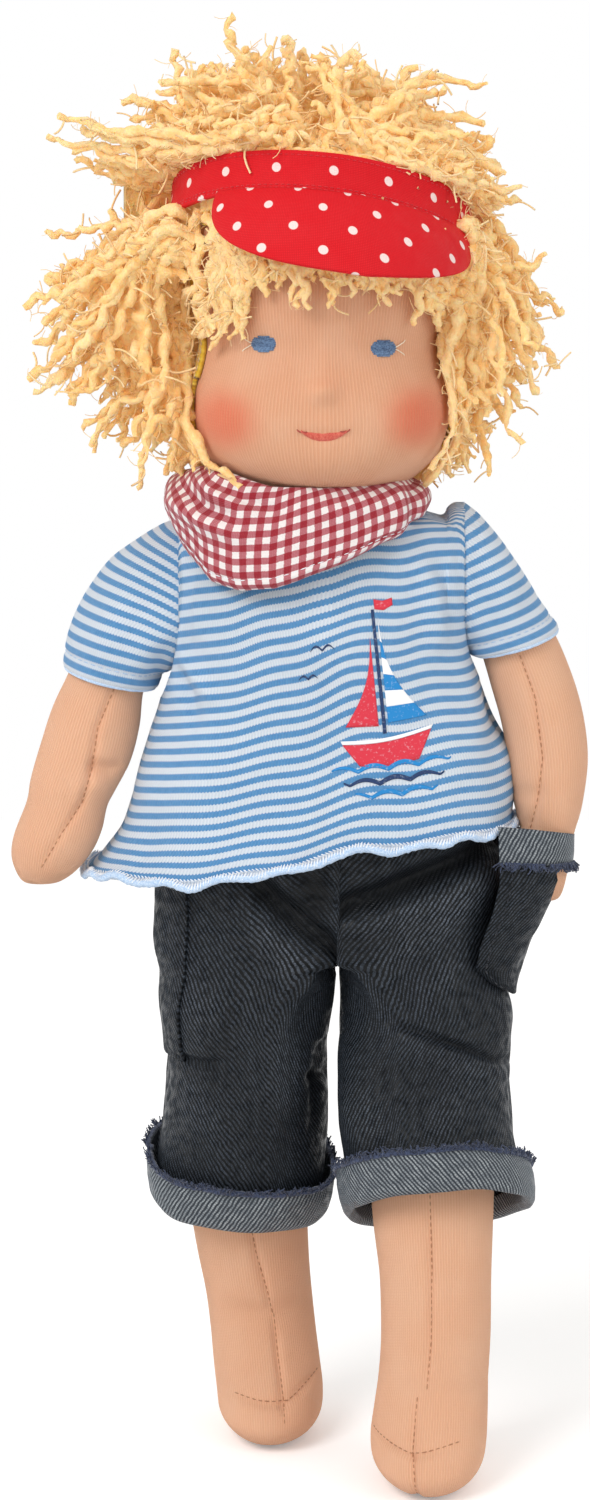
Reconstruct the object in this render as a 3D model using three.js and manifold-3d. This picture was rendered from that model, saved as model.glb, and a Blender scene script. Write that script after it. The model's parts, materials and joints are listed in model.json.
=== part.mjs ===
import * as THREE from "three";
import { mergeVertices } from "three/addons/utils/BufferGeometryUtils.js";
import Module from "manifold-3d";

// A soft cloth doll of the Waldorf kind, 45 cm tall with its hair: a stuffed jersey body, head, arms and legs,
// a yarn wig on a crocheted cap, and a sun visor, neckerchief, striped T-shirt and rolled-up denim trousers.
// It stands in mid stride with one foot forward and its left hand in a trouser pocket.
// Millimetres, +Z up, facing -Y, so its own left is +X.
// Tables named shares hold shares of the sizes beside them.

const wasm = await Module();
wasm.setup();

// Cloths and clearances
const seatGap = 0.3; // between pieces that touch
const clothGap = 0.5; // between a garment and what it slides on
const jersey = 1.6; // T-shirt cloth, with its folds
const denim = 2;
const gingham = 2.2; // the kerchief lies double
const cutterReach = 300; // overrun of every cutting block

// Where the doll stands in its frame
const midlineX = 5;
const midlineY = 4;

// Joint lines, from the floor and from the doll's midline
const hipHeight = 156;
const hipMiddle = 5; // the hips sit to the doll's left of the head
const shoulderRightHeight = 268;
const shoulderLeftHeight = 273;
const shoulderY = 2;
const neckHeight = 301;
const neckY = 3;

// A closed loft: rings of equal count, closed at both ends by a point in the middle of the end ring
function loft(rings) {
  const count = rings[0].length;
  const points = rings.flat();
  const faces = [];
  for (let r = 0; r + 1 < rings.length; r++)
    for (let i = 0; i < count; i++) {
      const j = (i + 1) % count;
      const [a, b, c, d] = [r * count + i, r * count + j, (r + 1) * count + j, (r + 1) * count + i];
      faces.push([a, b, c], [a, c, d]);
    }
  for (const [r, turned] of [[0, true], [rings.length - 1, false]]) {
    const middle = new THREE.Vector3();
    for (const p of rings[r]) middle.addScaledVector(p, 1 / count);
    const m = points.push(middle) - 1;
    for (let i = 0; i < count; i++) {
      const edge = [r * count + i, r * count + ((i + 1) % count)];
      if (turned) edge.reverse();
      faces.push([m, ...edge]);
    }
  }
  return solidFrom(points, faces);
}

// A tube wall: an outer and an inner loft of equal counts, joined by a rim at each end
function tubeWall(outer, inner) {
  const count = outer[0].length;
  const loop = [...outer, ...[...inner].reverse()];
  const points = loop.flat();
  const faces = [];
  for (let r = 0; r < loop.length; r++)
    for (let i = 0; i < count; i++) {
      const j = (i + 1) % count;
      const next = ((r + 1) % loop.length) * count;
      faces.push([r * count + i, r * count + j, next + j], [r * count + i, next + j, next + i]);
    }
  return solidFrom(points, faces);
}

// Points and faces as a solid, with its faces turned outwards
function solidFrom(points, faces) {
  let volume = 0;
  for (const [a, b, c] of faces)
    volume += points[a].dot(new THREE.Vector3().crossVectors(points[b], points[c]));
  const triVerts = new Uint32Array(faces.flatMap(([a, b, c]) => (volume < 0 ? [a, c, b] : [a, b, c])));
  const vertProperties = new Float32Array(points.flatMap((p) => p.toArray()));
  return new wasm.Manifold(new wasm.Mesh({ numProp: 3, vertProperties, triVerts }));
}

// A three.js geometry as a solid
function solidOf(geometry) {
  geometry.deleteAttribute("normal");
  geometry.deleteAttribute("uv");
  const merged = mergeVertices(geometry);
  const vertProperties = merged.attributes.position.array;
  const triVerts = new Uint32Array(merged.index.array);
  return new wasm.Manifold(new wasm.Mesh({ numProp: 3, vertProperties, triVerts }));
}

// A cutting block between two corners
function block([x0, y0, z0], [x1, y1, z1]) {
  const box = new THREE.BoxGeometry(x1 - x0, y1 - y0, z1 - z0);
  box.translate((x0 + x1) / 2, (y0 + y1) / 2, (z0 + z1) / 2);
  return solidOf(box);
}

// A round bar along X
function barAlongX(radius, x0, x1, y, z, sides = 32) {
  const bar = new THREE.CylinderGeometry(radius, radius, x1 - x0, sides);
  bar.rotateZ(Math.PI / 2);
  bar.translate((x0 + x1) / 2, y, z);
  return solidOf(bar);
}

// The largest body of a solid, because a cut can leave crumbs
function largest(solid) {
  return solid.decompose().sort((a, b) => b.volume() - a.volume())[0];
}

// One ring: a rounded oval, squarer with a higher power, with its own half depths in front and behind.
// across goes from the middle to the oval's +X side, and tilt drops or lifts the back against the front.
function ring({ middle, across, front, back, power = 2, tilt = 0, count = 20 }) {
  const points = [];
  for (let i = 0; i < count; i++) {
    const a = (i / count) * Math.PI * 2;
    const c = Math.sign(Math.cos(a)) * Math.abs(Math.cos(a)) ** (2 / power);
    const s = Math.sign(Math.sin(a)) * Math.abs(Math.sin(a)) ** (2 / power);
    const depth = s * (s < 0 ? front : back);
    const p = middle.clone().addScaledVector(across, c);
    p.y += depth;
    p.z += depth * Math.tan(tilt);
    points.push(p);
  }
  return points;
}

// Level rings up a column. shares rows: height, half width, front, back, x, y, power
function column(shares, size, grow = 0, options = {}) {
  return shares.map(([h, w, f, b, x = 0, y = 0, power = 2.2]) =>
    ring({
      middle: new THREE.Vector3(size.x + x * size.width, size.y + y * size.depth, size.foot + h * size.height),
      across: new THREE.Vector3(w * size.width + grow, 0, 0),
      front: f * size.depth + grow,
      back: b * size.depth + grow,
      power,
      ...options,
    }),
  );
}

// Rings along a limb seen from the front, from its outline. side is 1 on the doll's left and -1 on its right.
// shares rows: inner edge out and down, outer edge out and down, half depth, y
function limb(shares, size, side, grow = 0, options = {}) {
  return shares.map(([innerOut, innerDown, outerOut, outerDown, deep, y = 0]) => {
    const at = (out, down) =>
      new THREE.Vector3(side * (size.out + out * size.reach), 0, size.top - down * size.drop);
    const inner = at(innerOut, innerDown);
    const outer = at(outerOut, outerDown);
    const middle = inner.clone().lerp(outer, 1 / 2);
    middle.y = size.y + y * size.depth;
    const across = outer.clone().sub(inner).divideScalar(2);
    across.multiplyScalar(side * (1 + grow / across.length()));
    const thick = deep * size.depth + grow;
    return ring({ middle, across, front: thick, back: thick, ...options });
  });
}

const doll = new THREE.Group();
doll.position.set(midlineX, midlineY, 0);

// Adds a solid as a named mesh
function add(name, solid, color, roughness = 0.95) {
  const { vertProperties, triVerts } = solid.getMesh();
  const geometry = new THREE.BufferGeometry();
  geometry.setAttribute("position", new THREE.BufferAttribute(Float32Array.from(vertProperties), 3));
  geometry.setIndex(new THREE.BufferAttribute(Uint32Array.from(triVerts), 1));
  geometry.computeVertexNormals();
  const mesh = new THREE.Mesh(geometry, new THREE.MeshStandardMaterial({ color, roughness, metalness: 0 }));
  mesh.name = name;
  doll.add(mesh);
}

const skinColor = 0xe8b593;
const hairColor = 0xf3cf85;
const shirtColor = 0x8fb8de;
const denimColor = 0x23262d;
const turnUpColor = 0x6d747b;
const kerchiefColor = 0xb5384a;
const visorColor = 0xd81f26;

// Legs and trouser legs turn about one line through both hips, so above it they are round about that line
const trouserRound = 24; // radius of the trousers over the hip
const keelHalf = 4.7; // half width of the body between the legs
const legRound = 20; // radius of the stuffed leg at the hip
const legSide = { right: -1, left: 1 };

const domeTurnShares = [0.98, 0.9, 0.72, 0.5, 0.25]; // quarter turns over the hip
const domeNarrow = 4; // the dome's top is this part narrower than its foot

// Rings of a leg or trouser leg.
// rows: down from the hip, inner edge, outer edge, half depth, y, tilt in degrees
function legRings(shares, size, side, grow, dome, power = 2.3) {
  const rows = shares.map(([down, inner, outer, deep, y, tilt = 0]) => {
    const middleX = hipMiddle + (side * (inner + outer) * size.width) / 2;
    return ring({
      middle: new THREE.Vector3(middleX, y * size.stride, hipHeight - down * size.length),
      across: new THREE.Vector3(((outer - inner) * size.width) / 2 + grow, 0, 0),
      front: deep * size.depth + grow,
      back: deep * size.depth + grow,
      tilt: THREE.MathUtils.degToRad(tilt),
      power,
    });
  });
  const [, inner, outer] = shares[0];
  const middleX = hipMiddle + (side * (inner + outer) * size.width) / 2;
  const halfX = ((outer - inner) * size.width) / 2 + grow;
  const round = dome + grow;
  const domeRings = domeTurnShares.map((turn) => {
    const a = (turn * Math.PI) / 2;
    const deep = round * Math.cos(a);
    return ring({
      middle: new THREE.Vector3(middleX, 0, hipHeight + round * Math.sin(a)),
      across: new THREE.Vector3((halfX * (domeNarrow - 1 + Math.cos(a))) / domeNarrow, 0, 0),
      front: deep,
      back: deep,
      power,
    });
  });
  return [...domeRings, ...rows];
}

// Half space beside the body's keel, on one leg's side
function besideKeel(side, gap) {
  const plane = hipMiddle + side * (keelHalf + gap);
  return side > 0
    ? block([plane, -cutterReach, -cutterReach], [plane + cutterReach, cutterReach, cutterReach * 2])
    : block([plane - cutterReach, -cutterReach, -cutterReach], [plane, cutterReach, cutterReach * 2]);
}

// Everything a leg sweeps at the hip: the round over it, all in front below that, and a little behind
const backSwingLift = 12;
const backSwingY = 18;
function legSweep(gap) {
  const round = trouserRound + gap;
  const top = hipHeight + round;
  const backCorner = [-cutterReach, backSwingY - gap, -cutterReach];
  return barAlongX(round, -cutterReach, cutterReach, 0, hipHeight, 48)
    .add(block([-cutterReach, -cutterReach, -cutterReach], [cutterReach, 0, top]))
    .add(block([-cutterReach, -cutterReach, -cutterReach], [cutterReach, backSwingY, hipHeight]))
    .add(block(backCorner, [cutterReach, cutterReach, hipHeight + backSwingLift]));
}
const sweepBothSides = legSweep(clothGap)
  .intersect(besideKeel(1, 0))
  .add(legSweep(clothGap).intersect(besideKeel(-1, 0)));

// Stuffed legs: straight, with a short foot that is flat under the sole
const legSizes = { width: 50, depth: 20 };
// How far each foot, and each hem, is from the hips' line
const strides = { legRight: 24, legLeft: 26, trouserRight: 11.5, trouserLeft: 18.5 };
const legs = {
  right: {
    size: { ...legSizes, length: hipHeight, stride: strides.legRight },
    shares: [
      [0, -0.24, 1.02, 1, 0],
      [0.1, 0.165, 1, 0.99, 0.08],
      [0.25, 0.16, 0.98, 0.98, 0.24],
      [0.5, 0.16, 0.9, 0.92, 0.45, 4],
      [0.62, 0.145, 0.86, 0.88, 0.56, 6],
      [0.72, 0.125, 0.79, 0.84, 0.63, 6],
      [0.8, 0.11, 0.76, 0.84, 0.62, 4],
      [0.86, 0.09, 0.755, 0.98, 0.5],
      [0.91, 0.07, 0.745, 1.18, 0.34],
      [0.95, 0.08, 0.735, 1.28, 0.26],
      [0.98, 0.12, 0.69, 1.2, 0.26],
      [1, 0.2, 0.6, 1.02, 0.28],
    ],
  },
  left: {
    size: { ...legSizes, length: hipHeight, stride: strides.legLeft },
    shares: [
      [0, -0.24, 1.02, 1, 0],
      [0.09, 0.175, 1, 0.99, -0.1],
      [0.25, 0.16, 0.98, 0.98, -0.35],
      [0.5, 0.22, 0.95, 0.93, -0.72, -8],
      [0.62, 0.26, 0.92, 0.9, -0.92, -8],
      [0.72, 0.27, 0.91, 0.88, -1.08, -6],
      [0.8, 0.25, 0.9, 0.88, -1.22, -3],
      [0.86, 0.22, 0.905, 1.02, -1.42],
      [0.91, 0.2, 0.9, 1.22, -1.62],
      [0.95, 0.2, 0.89, 1.32, -1.72],
      [0.98, 0.24, 0.85, 1.24, -1.72],
      [1, 0.32, 0.77, 1.06, -1.7],
    ],
  },
};
for (const [name, side] of Object.entries(legSide)) {
  const leg = legs[name];
  const solid = loft(legRings(leg.shares, leg.size, side, 0, legRound));
  add(`leg_${name}`, largest(solid.intersect(besideKeel(side, seatGap))), skinColor);
}

// Trouser legs: wide tubes, round over the hip and open where they meet the body's keel
const trouserEase = 5; // wider than the leg inside
const trouserSizes = { width: legSizes.width + trouserEase, depth: trouserRound };
const trouserLengths = { right: 78, left: 72 }; // from the hips down
const trousers = {
  right: {
    size: { ...trouserSizes, length: trouserLengths.right, stride: strides.trouserRight },
    shares: [
      [0, -0.2, 0.985, 1, 0],
      [0.2, 0.08, 0.965, 1.02, 0.15],
      [0.38, 0.075, 0.945, 1.03, 0.33, 2],
      [0.58, 0.045, 0.955, 1.05, 0.55, 5],
      [0.76, 0.05, 0.975, 1.07, 0.75, 8],
      [0.98, 0.07, 1.005, 1.09, 0.97, 10],
    ],
  },
  left: {
    size: { ...trouserSizes, length: trouserLengths.left, stride: strides.trouserLeft },
    shares: [
      [0, -0.2, 0.985, 1, 0],
      [0.2, 0.08, 0.985, 1.02, -0.16],
      [0.42, 0.04, 0.965, 1.04, -0.37, -4],
      [0.62, 0.03, 0.985, 1.06, -0.57, -8],
      [0.8, 0.05, 1.02, 1.08, -0.78, -12],
      [0.99, 0.072, 1.055, 1.1, -0.98, -15],
    ],
  },
};
for (const [name, side] of Object.entries(legSide)) {
  const { shares, size } = trousers[name];
  const outer = legRings(shares, size, side, 0, trouserRound);
  const inner = legRings(shares, size, side, -denim, trouserRound);
  const bottom = inner[inner.length - 1];
  const below = bottom.map((p) => p.clone().setZ(p.z - denim));
  const wall = loft(outer).subtract(loft([...inner, below]));
  add(`trouser_leg_${name}`, largest(wall.intersect(besideKeel(side, seatGap))), denimColor);
}

// Turn-ups: the hem rolled outwards over itself, with its lighter back of the cloth showing
const turnUpHeight = 14;
const turnUpThickShare = 0.5; // of the denim, at its edges
const turnUpBulgeShare = 0.6; // and as much more in its middle
const turnUpShares = [
  [1, 0.1],
  [0.85, 0.75],
  [0.45, 1],
  [0.1, 0.8],
  [-0.12, 0],
]; // height up the turn-up, and how far it stands out
for (const [name, side] of Object.entries(legSide)) {
  const { shares, size } = trousers[name];
  const last = shares[shares.length - 1];
  const before = shares[shares.length - 2];
  const at = (up, grow) => {
    const t = (up * turnUpHeight) / size.length / (last[0] - before[0]);
    const row = last.map((v, i) => v + (before[i] - v) * t);
    return legRings([row], size, side, grow, trouserRound).pop();
  };
  const stand = (out) => clothGap + denim * (turnUpThickShare + turnUpBulgeShare * out);
  const outer = turnUpShares.map(([up, out]) => at(up, stand(out)));
  const inner = turnUpShares.map(([up]) => at(up, clothGap));
  add(`turn_up_${name}`, tubeWall(outer, inner), turnUpColor);
}

// Patch pocket on the right thigh's outer side, cut from a skin over the trouser leg
const pocketFlat = { drop: 34, tall: 48, front: -11, back: 19, bandHeight: 9, inset: 40.8 };
{
  const { shares, size } = trousers.right;
  const skin = (grow) => loft(legRings(shares, size, -1, grow, trouserRound));
  const sheet = skin(seatGap + denim).subtract(skin(seatGap));
  const outside = hipMiddle - pocketFlat.inset; // the pocket lies on the leg's outer side of here
  const patch = (low, high) =>
    block([outside - cutterReach, pocketFlat.front, low], [outside, pocketFlat.back, high]);
  const foot = hipHeight - pocketFlat.drop;
  const top = foot + pocketFlat.tall;
  const bandFoot = top - pocketFlat.bandHeight;
  add("pocket_right", largest(sheet.intersect(patch(foot, bandFoot - seatGap))), denimColor);
  add("pocket_band_right", largest(sheet.intersect(patch(bandFoot, top))), turnUpColor);
}

// Gaping pocket on the left thigh's outer side, with the hand in it
const pouchDrop = 12; // its foot below the hips
const pouchFoot = hipHeight - pouchDrop;
const pocketPouch = { x: 66.6, y: -4, foot: pouchFoot, height: 41, width: 11.3, depth: 19 };
const pouchCloth = 1.8;
const pouchBandStand = 0.7; // the band's extra thickness, because the cloth is turned over
const pouchBandShare = 0.76; // the height where the turned-over band starts
const pouchBagShare = 0.56; // below this height the pocket is empty, and keeps its shape
const pouchShares = [
  [0, 0.35, 0.75, 0.8, -0.75, 0],
  [0.12, 0.62, 0.92, 0.95, -0.5, 0],
  [0.35, 0.85, 1, 1, -0.22, 0],
  [0.6, 0.96, 1, 1, -0.08, 0],
  [0.76, 1, 0.98, 0.98, 0, 0],
  [1, 1.02, 0.95, 0.95, 0.02, 0],
];
{
  const { shares, size } = trousers.left;
  const leg = loft(legRings(shares, size, 1, seatGap, trouserRound));
  const outer = column(pouchShares, pocketPouch, 0);
  const inner = column(pouchShares, pocketPouch, -pouchCloth);
  const lift = (rings, by) => rings.map((r) => r.map((p) => p.clone().setZ(p.z + by)));
  const hollow = loft(lift(inner, denim));
  const bag = loft(outer).subtract(hollow).subtract(leg);
  const bandFoot = pocketPouch.foot + pocketPouch.height * pouchBandShare;
  const bagTop = pocketPouch.foot + pocketPouch.height * pouchBagShare;
  const slab = (low, high) => block([-cutterReach, -cutterReach, low], [cutterReach, cutterReach, high]);
  add("pocket_left_foot", largest(bag.intersect(slab(-cutterReach, bagTop - seatGap))), denimColor);
  add("pocket_left", largest(bag.intersect(slab(bagTop, bandFoot - seatGap))), denimColor);
  const bandOuter = column(pouchShares, pocketPouch, pouchBandStand);
  const band = loft(bandOuter).subtract(hollow).subtract(leg);
  add("pocket_band_left", largest(band.intersect(slab(bandFoot, cutterReach * 2))), turnUpColor);
}

// Stuffed body, with a narrow keel that runs down between the legs and a short neck
const keelDrop = 7;
const bodyFoot = hipHeight - keelDrop;
const bodyHeight = neckHeight - clothGap - bodyFoot;
const body = { x: 0, y: 0, foot: bodyFoot, height: bodyHeight, width: 46, depth: 26 };
const bodyShares = [
  [0, 0.75, 0.8, 0.8, 0.1],
  [0.08, 0.98, 0.86, 0.86, 0.08],
  [0.17, 1, 0.92, 0.95, 0.07],
  [0.28, 0.99, 1, 1, 0.05],
  [0.43, 0.94, 1.03, 1, 0.02],
  [0.6, 0.9, 0.96, 0.93, 0],
  [0.68, 0.93, 0.9, 0.88, 0],
  [0.76, 0.97, 0.84, 0.84, 0],
  [0.83, 0.955, 0.77, 0.79, 0],
  [0.875, 0.76, 0.68, 0.74, 0],
  [0.91, 0.5, 0.6, 0.68, 0, 0.06],
  [0.95, 0.41, 0.52, 0.62, 0, 0.1],
  [1, 0.4, 0.5, 0.62, 0, 0.1],
];
const armRootX = 44;
const armRootRound = 16;
const armSeats = [
  barAlongX(armRootRound, armRootX - seatGap, armRootX + cutterReach, shoulderY, shoulderLeftHeight),
  barAlongX(armRootRound, -armRootX - cutterReach, -armRootX + seatGap, shoulderY, shoulderRightHeight),
];
let torso = loft(column(bodyShares, body)).subtract(sweepBothSides);
for (const seat of armSeats) torso = torso.subtract(seat);
const torsoSolid = largest(torso);
add("body", torsoSolid, skinColor);

// The thread that ties the neck
const neckThread = { round: 0.9, below: 6 };
const neckThreadShares = [0.41, 0.53, 0.64, 0, 0.1];
{
  const share = (neckHeight - neckThread.below - body.foot) / body.height;
  const at = (grow, lift) => column([[share + lift / body.height, ...neckThreadShares]], body, grow)[0];
  const reach = seatGap + neckThread.round;
  const outer = [at(reach, neckThread.round / 2), at(reach, -neckThread.round / 2)];
  const inner = [at(seatGap, neckThread.round), at(seatGap, -neckThread.round)];
  add("neck_thread", tubeWall(outer, inner), 0xf2e6d4);
}

// Seat of the trousers: the waist, the cloth over the buttocks and the strip under the keel
const waistEase = 7; // wider than the body inside
const seatDrop = 10.5; // its foot below the hips
const waistFoot = hipHeight - seatDrop;
const waist = { x: 0, y: 0, foot: waistFoot, height: 58, width: body.width + waistEase, depth: 27 };
const seatShares = [
  [0, 0.6, 0.6, 0.6, 0.05],
  [0.03, 0.8, 0.84, 0.84, 0.05],
  [0.12, 0.93, 0.9, 0.92, 0.06],
  [0.4, 0.955, 0.97, 1.02, 0.06],
  [0.62, 0.955, 1.03, 1.06, 0.05],
  [0.85, 0.95, 1.06, 1.06, 0.04],
  [1, 0.94, 1.06, 1.05, 0.03],
];
const waistElastic = { belowTop: 10.5, tall: 8.5, round: 1.2 };
{
  const outside = loft(column(seatShares, waist));
  const bodyRoom = loft(column(bodyShares, body, seatGap + waistElastic.round + seatGap));
  const keelRoom = loft(column(bodyShares, body, seatGap));
  const lowTop = hipHeight + trouserRound;
  const low = block([-cutterReach, -cutterReach, -cutterReach], [cutterReach, cutterReach, lowTop]);
  const seat = outside.subtract(bodyRoom.subtract(low)).subtract(keelRoom).subtract(sweepBothSides);
  add("trouser_seat", largest(seat), denimColor);
  const elasticLow = waist.foot + waist.height - waistElastic.belowTop;
  const elasticTop = elasticLow + waistElastic.tall;
  const slab = block([-cutterReach, -cutterReach, elasticLow], [cutterReach, cutterReach, elasticTop]);
  const round = loft(column(bodyShares, body, seatGap + waistElastic.round)).subtract(keelRoom);
  add("waist_elastic", largest(round.intersect(slab)), 0xe9e6df);
}

// Arms
const armDepth = 13.6;
const armRoot = { out: armRootX, depth: armDepth, y: shoulderY };
const armRightSize = { ...armRoot, reach: 51, top: shoulderRightHeight, drop: 90 };
const armLeftSize = { ...armRoot, reach: 37.5, top: shoulderLeftHeight, drop: 100 };
const arms = {
  right: {
    size: armRightSize,
    shares: [
      [0, 0.165, 0, -0.155, 0.95],
      [0.04, 0.19, 0.2, -0.12, 0.98],
      [0.12, 0.22, 0.4, -0.03, 0.98],
      [0.2, 0.33, 0.64, 0.26, 0.96, -0.05],
      [0.225, 0.45, 0.75, 0.39, 0.93, -0.15],
      [0.28, 0.57, 0.825, 0.525, 0.86, -0.3],
      [0.39, 0.665, 0.89, 0.645, 0.78, -0.42],
      [0.435, 0.75, 0.95, 0.76, 0.8, -0.5],
      [0.46, 0.85, 1, 0.86, 0.82, -0.55],
      [0.525, 0.92, 0.995, 0.925, 0.7, -0.58],
      [0.64, 0.97, 0.95, 0.975, 0.48, -0.6],
    ],
  },
  left: {
    size: armLeftSize,
    shares: [
      [0, 0.15, 0, -0.14, 0.95],
      [0.06, 0.18, 0.2, -0.1, 0.97],
      [0.11, 0.21, 0.43, 0.01, 0.96],
      [0.14, 0.25, 0.7, 0.16, 0.95, -0.05],
      [0.21, 0.335, 0.85, 0.28, 0.92, -0.1],
      [0.29, 0.44, 0.95, 0.41, 0.88, -0.18],
      [0.345, 0.56, 0.995, 0.555, 0.83, -0.28],
      [0.395, 0.68, 0.96, 0.69, 0.76, -0.36],
      [0.455, 0.78, 0.885, 0.79, 0.7, -0.42],
      [0.475, 0.86, 0.85, 0.87, 0.74, -0.46],
      [0.495, 0.93, 0.83, 0.94, 0.72, -0.48],
      [0.56, 0.99, 0.78, 0.995, 0.5, -0.5],
    ],
  },
};
for (const [name, side] of Object.entries(legSide))
  add(`arm_${name}`, loft(limb(arms[name].shares, arms[name].size, side)), skinColor);

// Sleeves: they start in the armhole's plane and turn with the arms
const armholeX = 44;
const sleeveOut = armholeX + clothGap;
const sleeveDepth = 16.2;
const sleeveRoot = { out: sleeveOut, depth: sleeveDepth, y: shoulderY };
const sleeveRightSize = { ...sleeveRoot, reach: 35, top: shoulderRightHeight, drop: 33 };
const sleeveLeftSize = { ...sleeveRoot, reach: 29.5, top: shoulderLeftHeight, drop: 24 };
const sleeves = {
  right: {
    size: sleeveRightSize,
    shares: [
      [0, 0.7, 0, -0.7, 0.98],
      [0.01, 0.71, 0.25, -0.58, 1],
      [0.03, 0.72, 0.55, -0.35, 1],
      [0.06, 0.74, 0.78, -0.02, 1],
      [0.125, 0.79, 0.92, 0.34, 1],
      [0.18, 0.9, 1, 0.68, 1],
    ],
  },
  left: {
    size: sleeveLeftSize,
    shares: [
      [0, 0.96, 0, -0.96, 0.98],
      [0.01, 0.97, 0.28, -0.74, 1],
      [0.02, 0.98, 0.56, -0.32, 1],
      [0.04, 1, 0.78, 0.14, 1],
      [0.08, 1.03, 0.98, 0.65, 1],
    ],
  },
};
for (const [name, side] of Object.entries(legSide)) {
  const { shares, size } = sleeves[name];
  const outer = limb(shares, size, side);
  const inner = limb(shares, size, side, -jersey);
  add(`sleeve_${name}`, tubeWall(outer, inner), shirtColor);
}

// T-shirt body: a wide tube that flares to its rolled hem and closes over the shoulders
const shirtOver = 12.5; // its hem below the trousers' top
const shirtNeckDrop = 7.5; // its top below the neck's tie
const shirtFoot = waist.foot + waist.height - shirtOver;
const shirtHeight = neckHeight - shirtNeckDrop - shirtFoot;
const shirt = { x: 0, y: 0.5, foot: shirtFoot, height: shirtHeight, width: 57, depth: 31 };
const shirtShares = [
  [0, 1.11, 1.1, 1.09, -0.06],
  [0.03, 1.085, 1.07, 1.06, -0.05],
  [0.12, 1.02, 1.03, 1.03, -0.03],
  [0.27, 0.94, 1, 1, -0.015],
  [0.4, 0.87, 0.965, 0.97, -0.02],
  [0.5, 0.825, 0.94, 0.94, -0.02],
  [0.58, 0.81, 0.92, 0.92, -0.015],
  [0.66, 0.82, 0.87, 0.88, -0.01, 0, 2.6],
  [0.76, 0.83, 0.81, 0.83, 0, 0, 2.9],
  [0.86, 0.83, 0.74, 0.77, 0, 0, 3],
  [0.93, 0.68, 0.67, 0.72, 0, 0, 2.5],
  [0.97, 0.52, 0.62, 0.7],
  [1, 0.42, 0.58, 0.68, 0, 0.04],
];
const armholeRound = 25.5;
// The hem dips at the doll's right side and rises to its left
const hemSlopeShare = 0.15;
const hemDrapeShare = 1 / 3; // of the shirt's height, which the slope fades over
function hemDrape(p) {
  const low = Math.max(0, 1 - (p.z - shirt.foot) / (shirt.height * hemDrapeShare));
  return p.clone().setZ(p.z + low * p.x * hemSlopeShare);
}
{
  const outer = column(shirtShares, shirt, 0, { count: 24 }).map((r) => r.map(hemDrape));
  const inner = column(shirtShares, shirt, -jersey, { count: 24 }).map((r) => r.map(hemDrape));
  const wall = tubeWall(outer, inner)
    .subtract(barAlongX(armholeRound, armholeX, armholeX + cutterReach, shoulderY, shoulderLeftHeight))
    .subtract(barAlongX(armholeRound, -armholeX - cutterReach, -armholeX, shoulderY, shoulderRightHeight));
  add("shirt_body", largest(wall), shirtColor);
}

// Rib band in the shirt's neckline
const neckRib = { height: 4, stand: 1.2 };
{
  const top = shirtShares[shirtShares.length - 1];
  const at = (grow, lift) => {
    const rows = [[top[0] + lift / shirt.height, ...top.slice(1)]];
    return column(rows, shirt, grow, { count: 24 })[0];
  };
  const outer = [at(neckRib.stand - jersey, seatGap + neckRib.height), at(0, seatGap)];
  const inner = [at(-jersey, seatGap + neckRib.height), at(-jersey, seatGap)];
  add("shirt_neck_rib", tubeWall(outer, inner), shirtColor);
}

// Neckerchief: a folded cloth round the neck, deep in front, with a roll at each side
const kerchief = { x: 0, y: 1, foot: 270, height: 31.5, width: 41, depth: 33 };
const kerchiefBackShare = 0.62; // how far the back's hem stands above the front's
const kerchiefShares = [
  [0, 0.9, 1.0, 0.98],
  [0.12, 1, 1.03, 0.97],
  [0.4, 1.02, 1.02, 0.92],
  [0.68, 0.97, 0.99, 0.9],
  [0.86, 0.84, 0.9, 0.88],
  [0.97, 0.77, 0.86, 0.86],
];
function kerchiefDrape(p, t) {
  const behind = Math.max(0, Math.min(1, (p.y / kerchief.depth + 1) / 2));
  const lift = (1 - t) * behind * kerchiefBackShare * kerchief.height;
  return p.clone().setZ(p.z + lift);
}
{
  const fold = (grow) =>
    column(kerchiefShares, kerchief, grow, { count: 24 }).map((r, k) =>
      r.map((p) => kerchiefDrape(p, kerchiefShares[k][0])),
    );
  const wall = tubeWall(fold(0), fold(-gingham));
  const shirtRoom = loft(column(shirtShares, shirt, seatGap, { count: 24 }).map((r) => r.map(hemDrape)));
  add("kerchief", largest(wall.subtract(shirtRoom)), kerchiefColor);
}

// Knot and two tails at the nape
const knot = { y: 34, height: 288, halfWidth: 7.2, halfDepth: 4.1, halfHeight: 5.5, tail: 24, tailWidth: 9 };
const knotTailLean = 10; // degrees, away from the back
const knotTailSplay = 28; // degrees, to each side
const ballSides = 12;
const ballRings = 8;
{
  const ball = new THREE.SphereGeometry(1, ballSides, ballRings);
  ball.scale(knot.halfWidth, knot.halfDepth, knot.halfHeight);
  ball.translate(kerchief.x, knot.y, knot.height);
  let solid = solidOf(ball);
  for (const side of [-1, 1]) {
    const tail = new THREE.BoxGeometry(knot.tailWidth, gingham, knot.tail);
    tail.translate(0, 0, -knot.tail / 2);
    tail.rotateX(THREE.MathUtils.degToRad(knotTailLean));
    tail.rotateY(side * THREE.MathUtils.degToRad(knotTailSplay));
    tail.translate(kerchief.x, knot.y, knot.height);
    solid = solid.add(solidOf(tail));
  }
  const room = loft(
    column(kerchiefShares, kerchief, seatGap, { count: 24 }).map((r, k) =>
      r.map((p) => kerchiefDrape(p, kerchiefShares[k][0])),
    ),
  );
  const shirtRoom = loft(column(shirtShares, shirt, seatGap, { count: 24 }));
  add("kerchief_knot", largest(solid.subtract(room).subtract(shirtRoom)), kerchiefColor);
}

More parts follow.
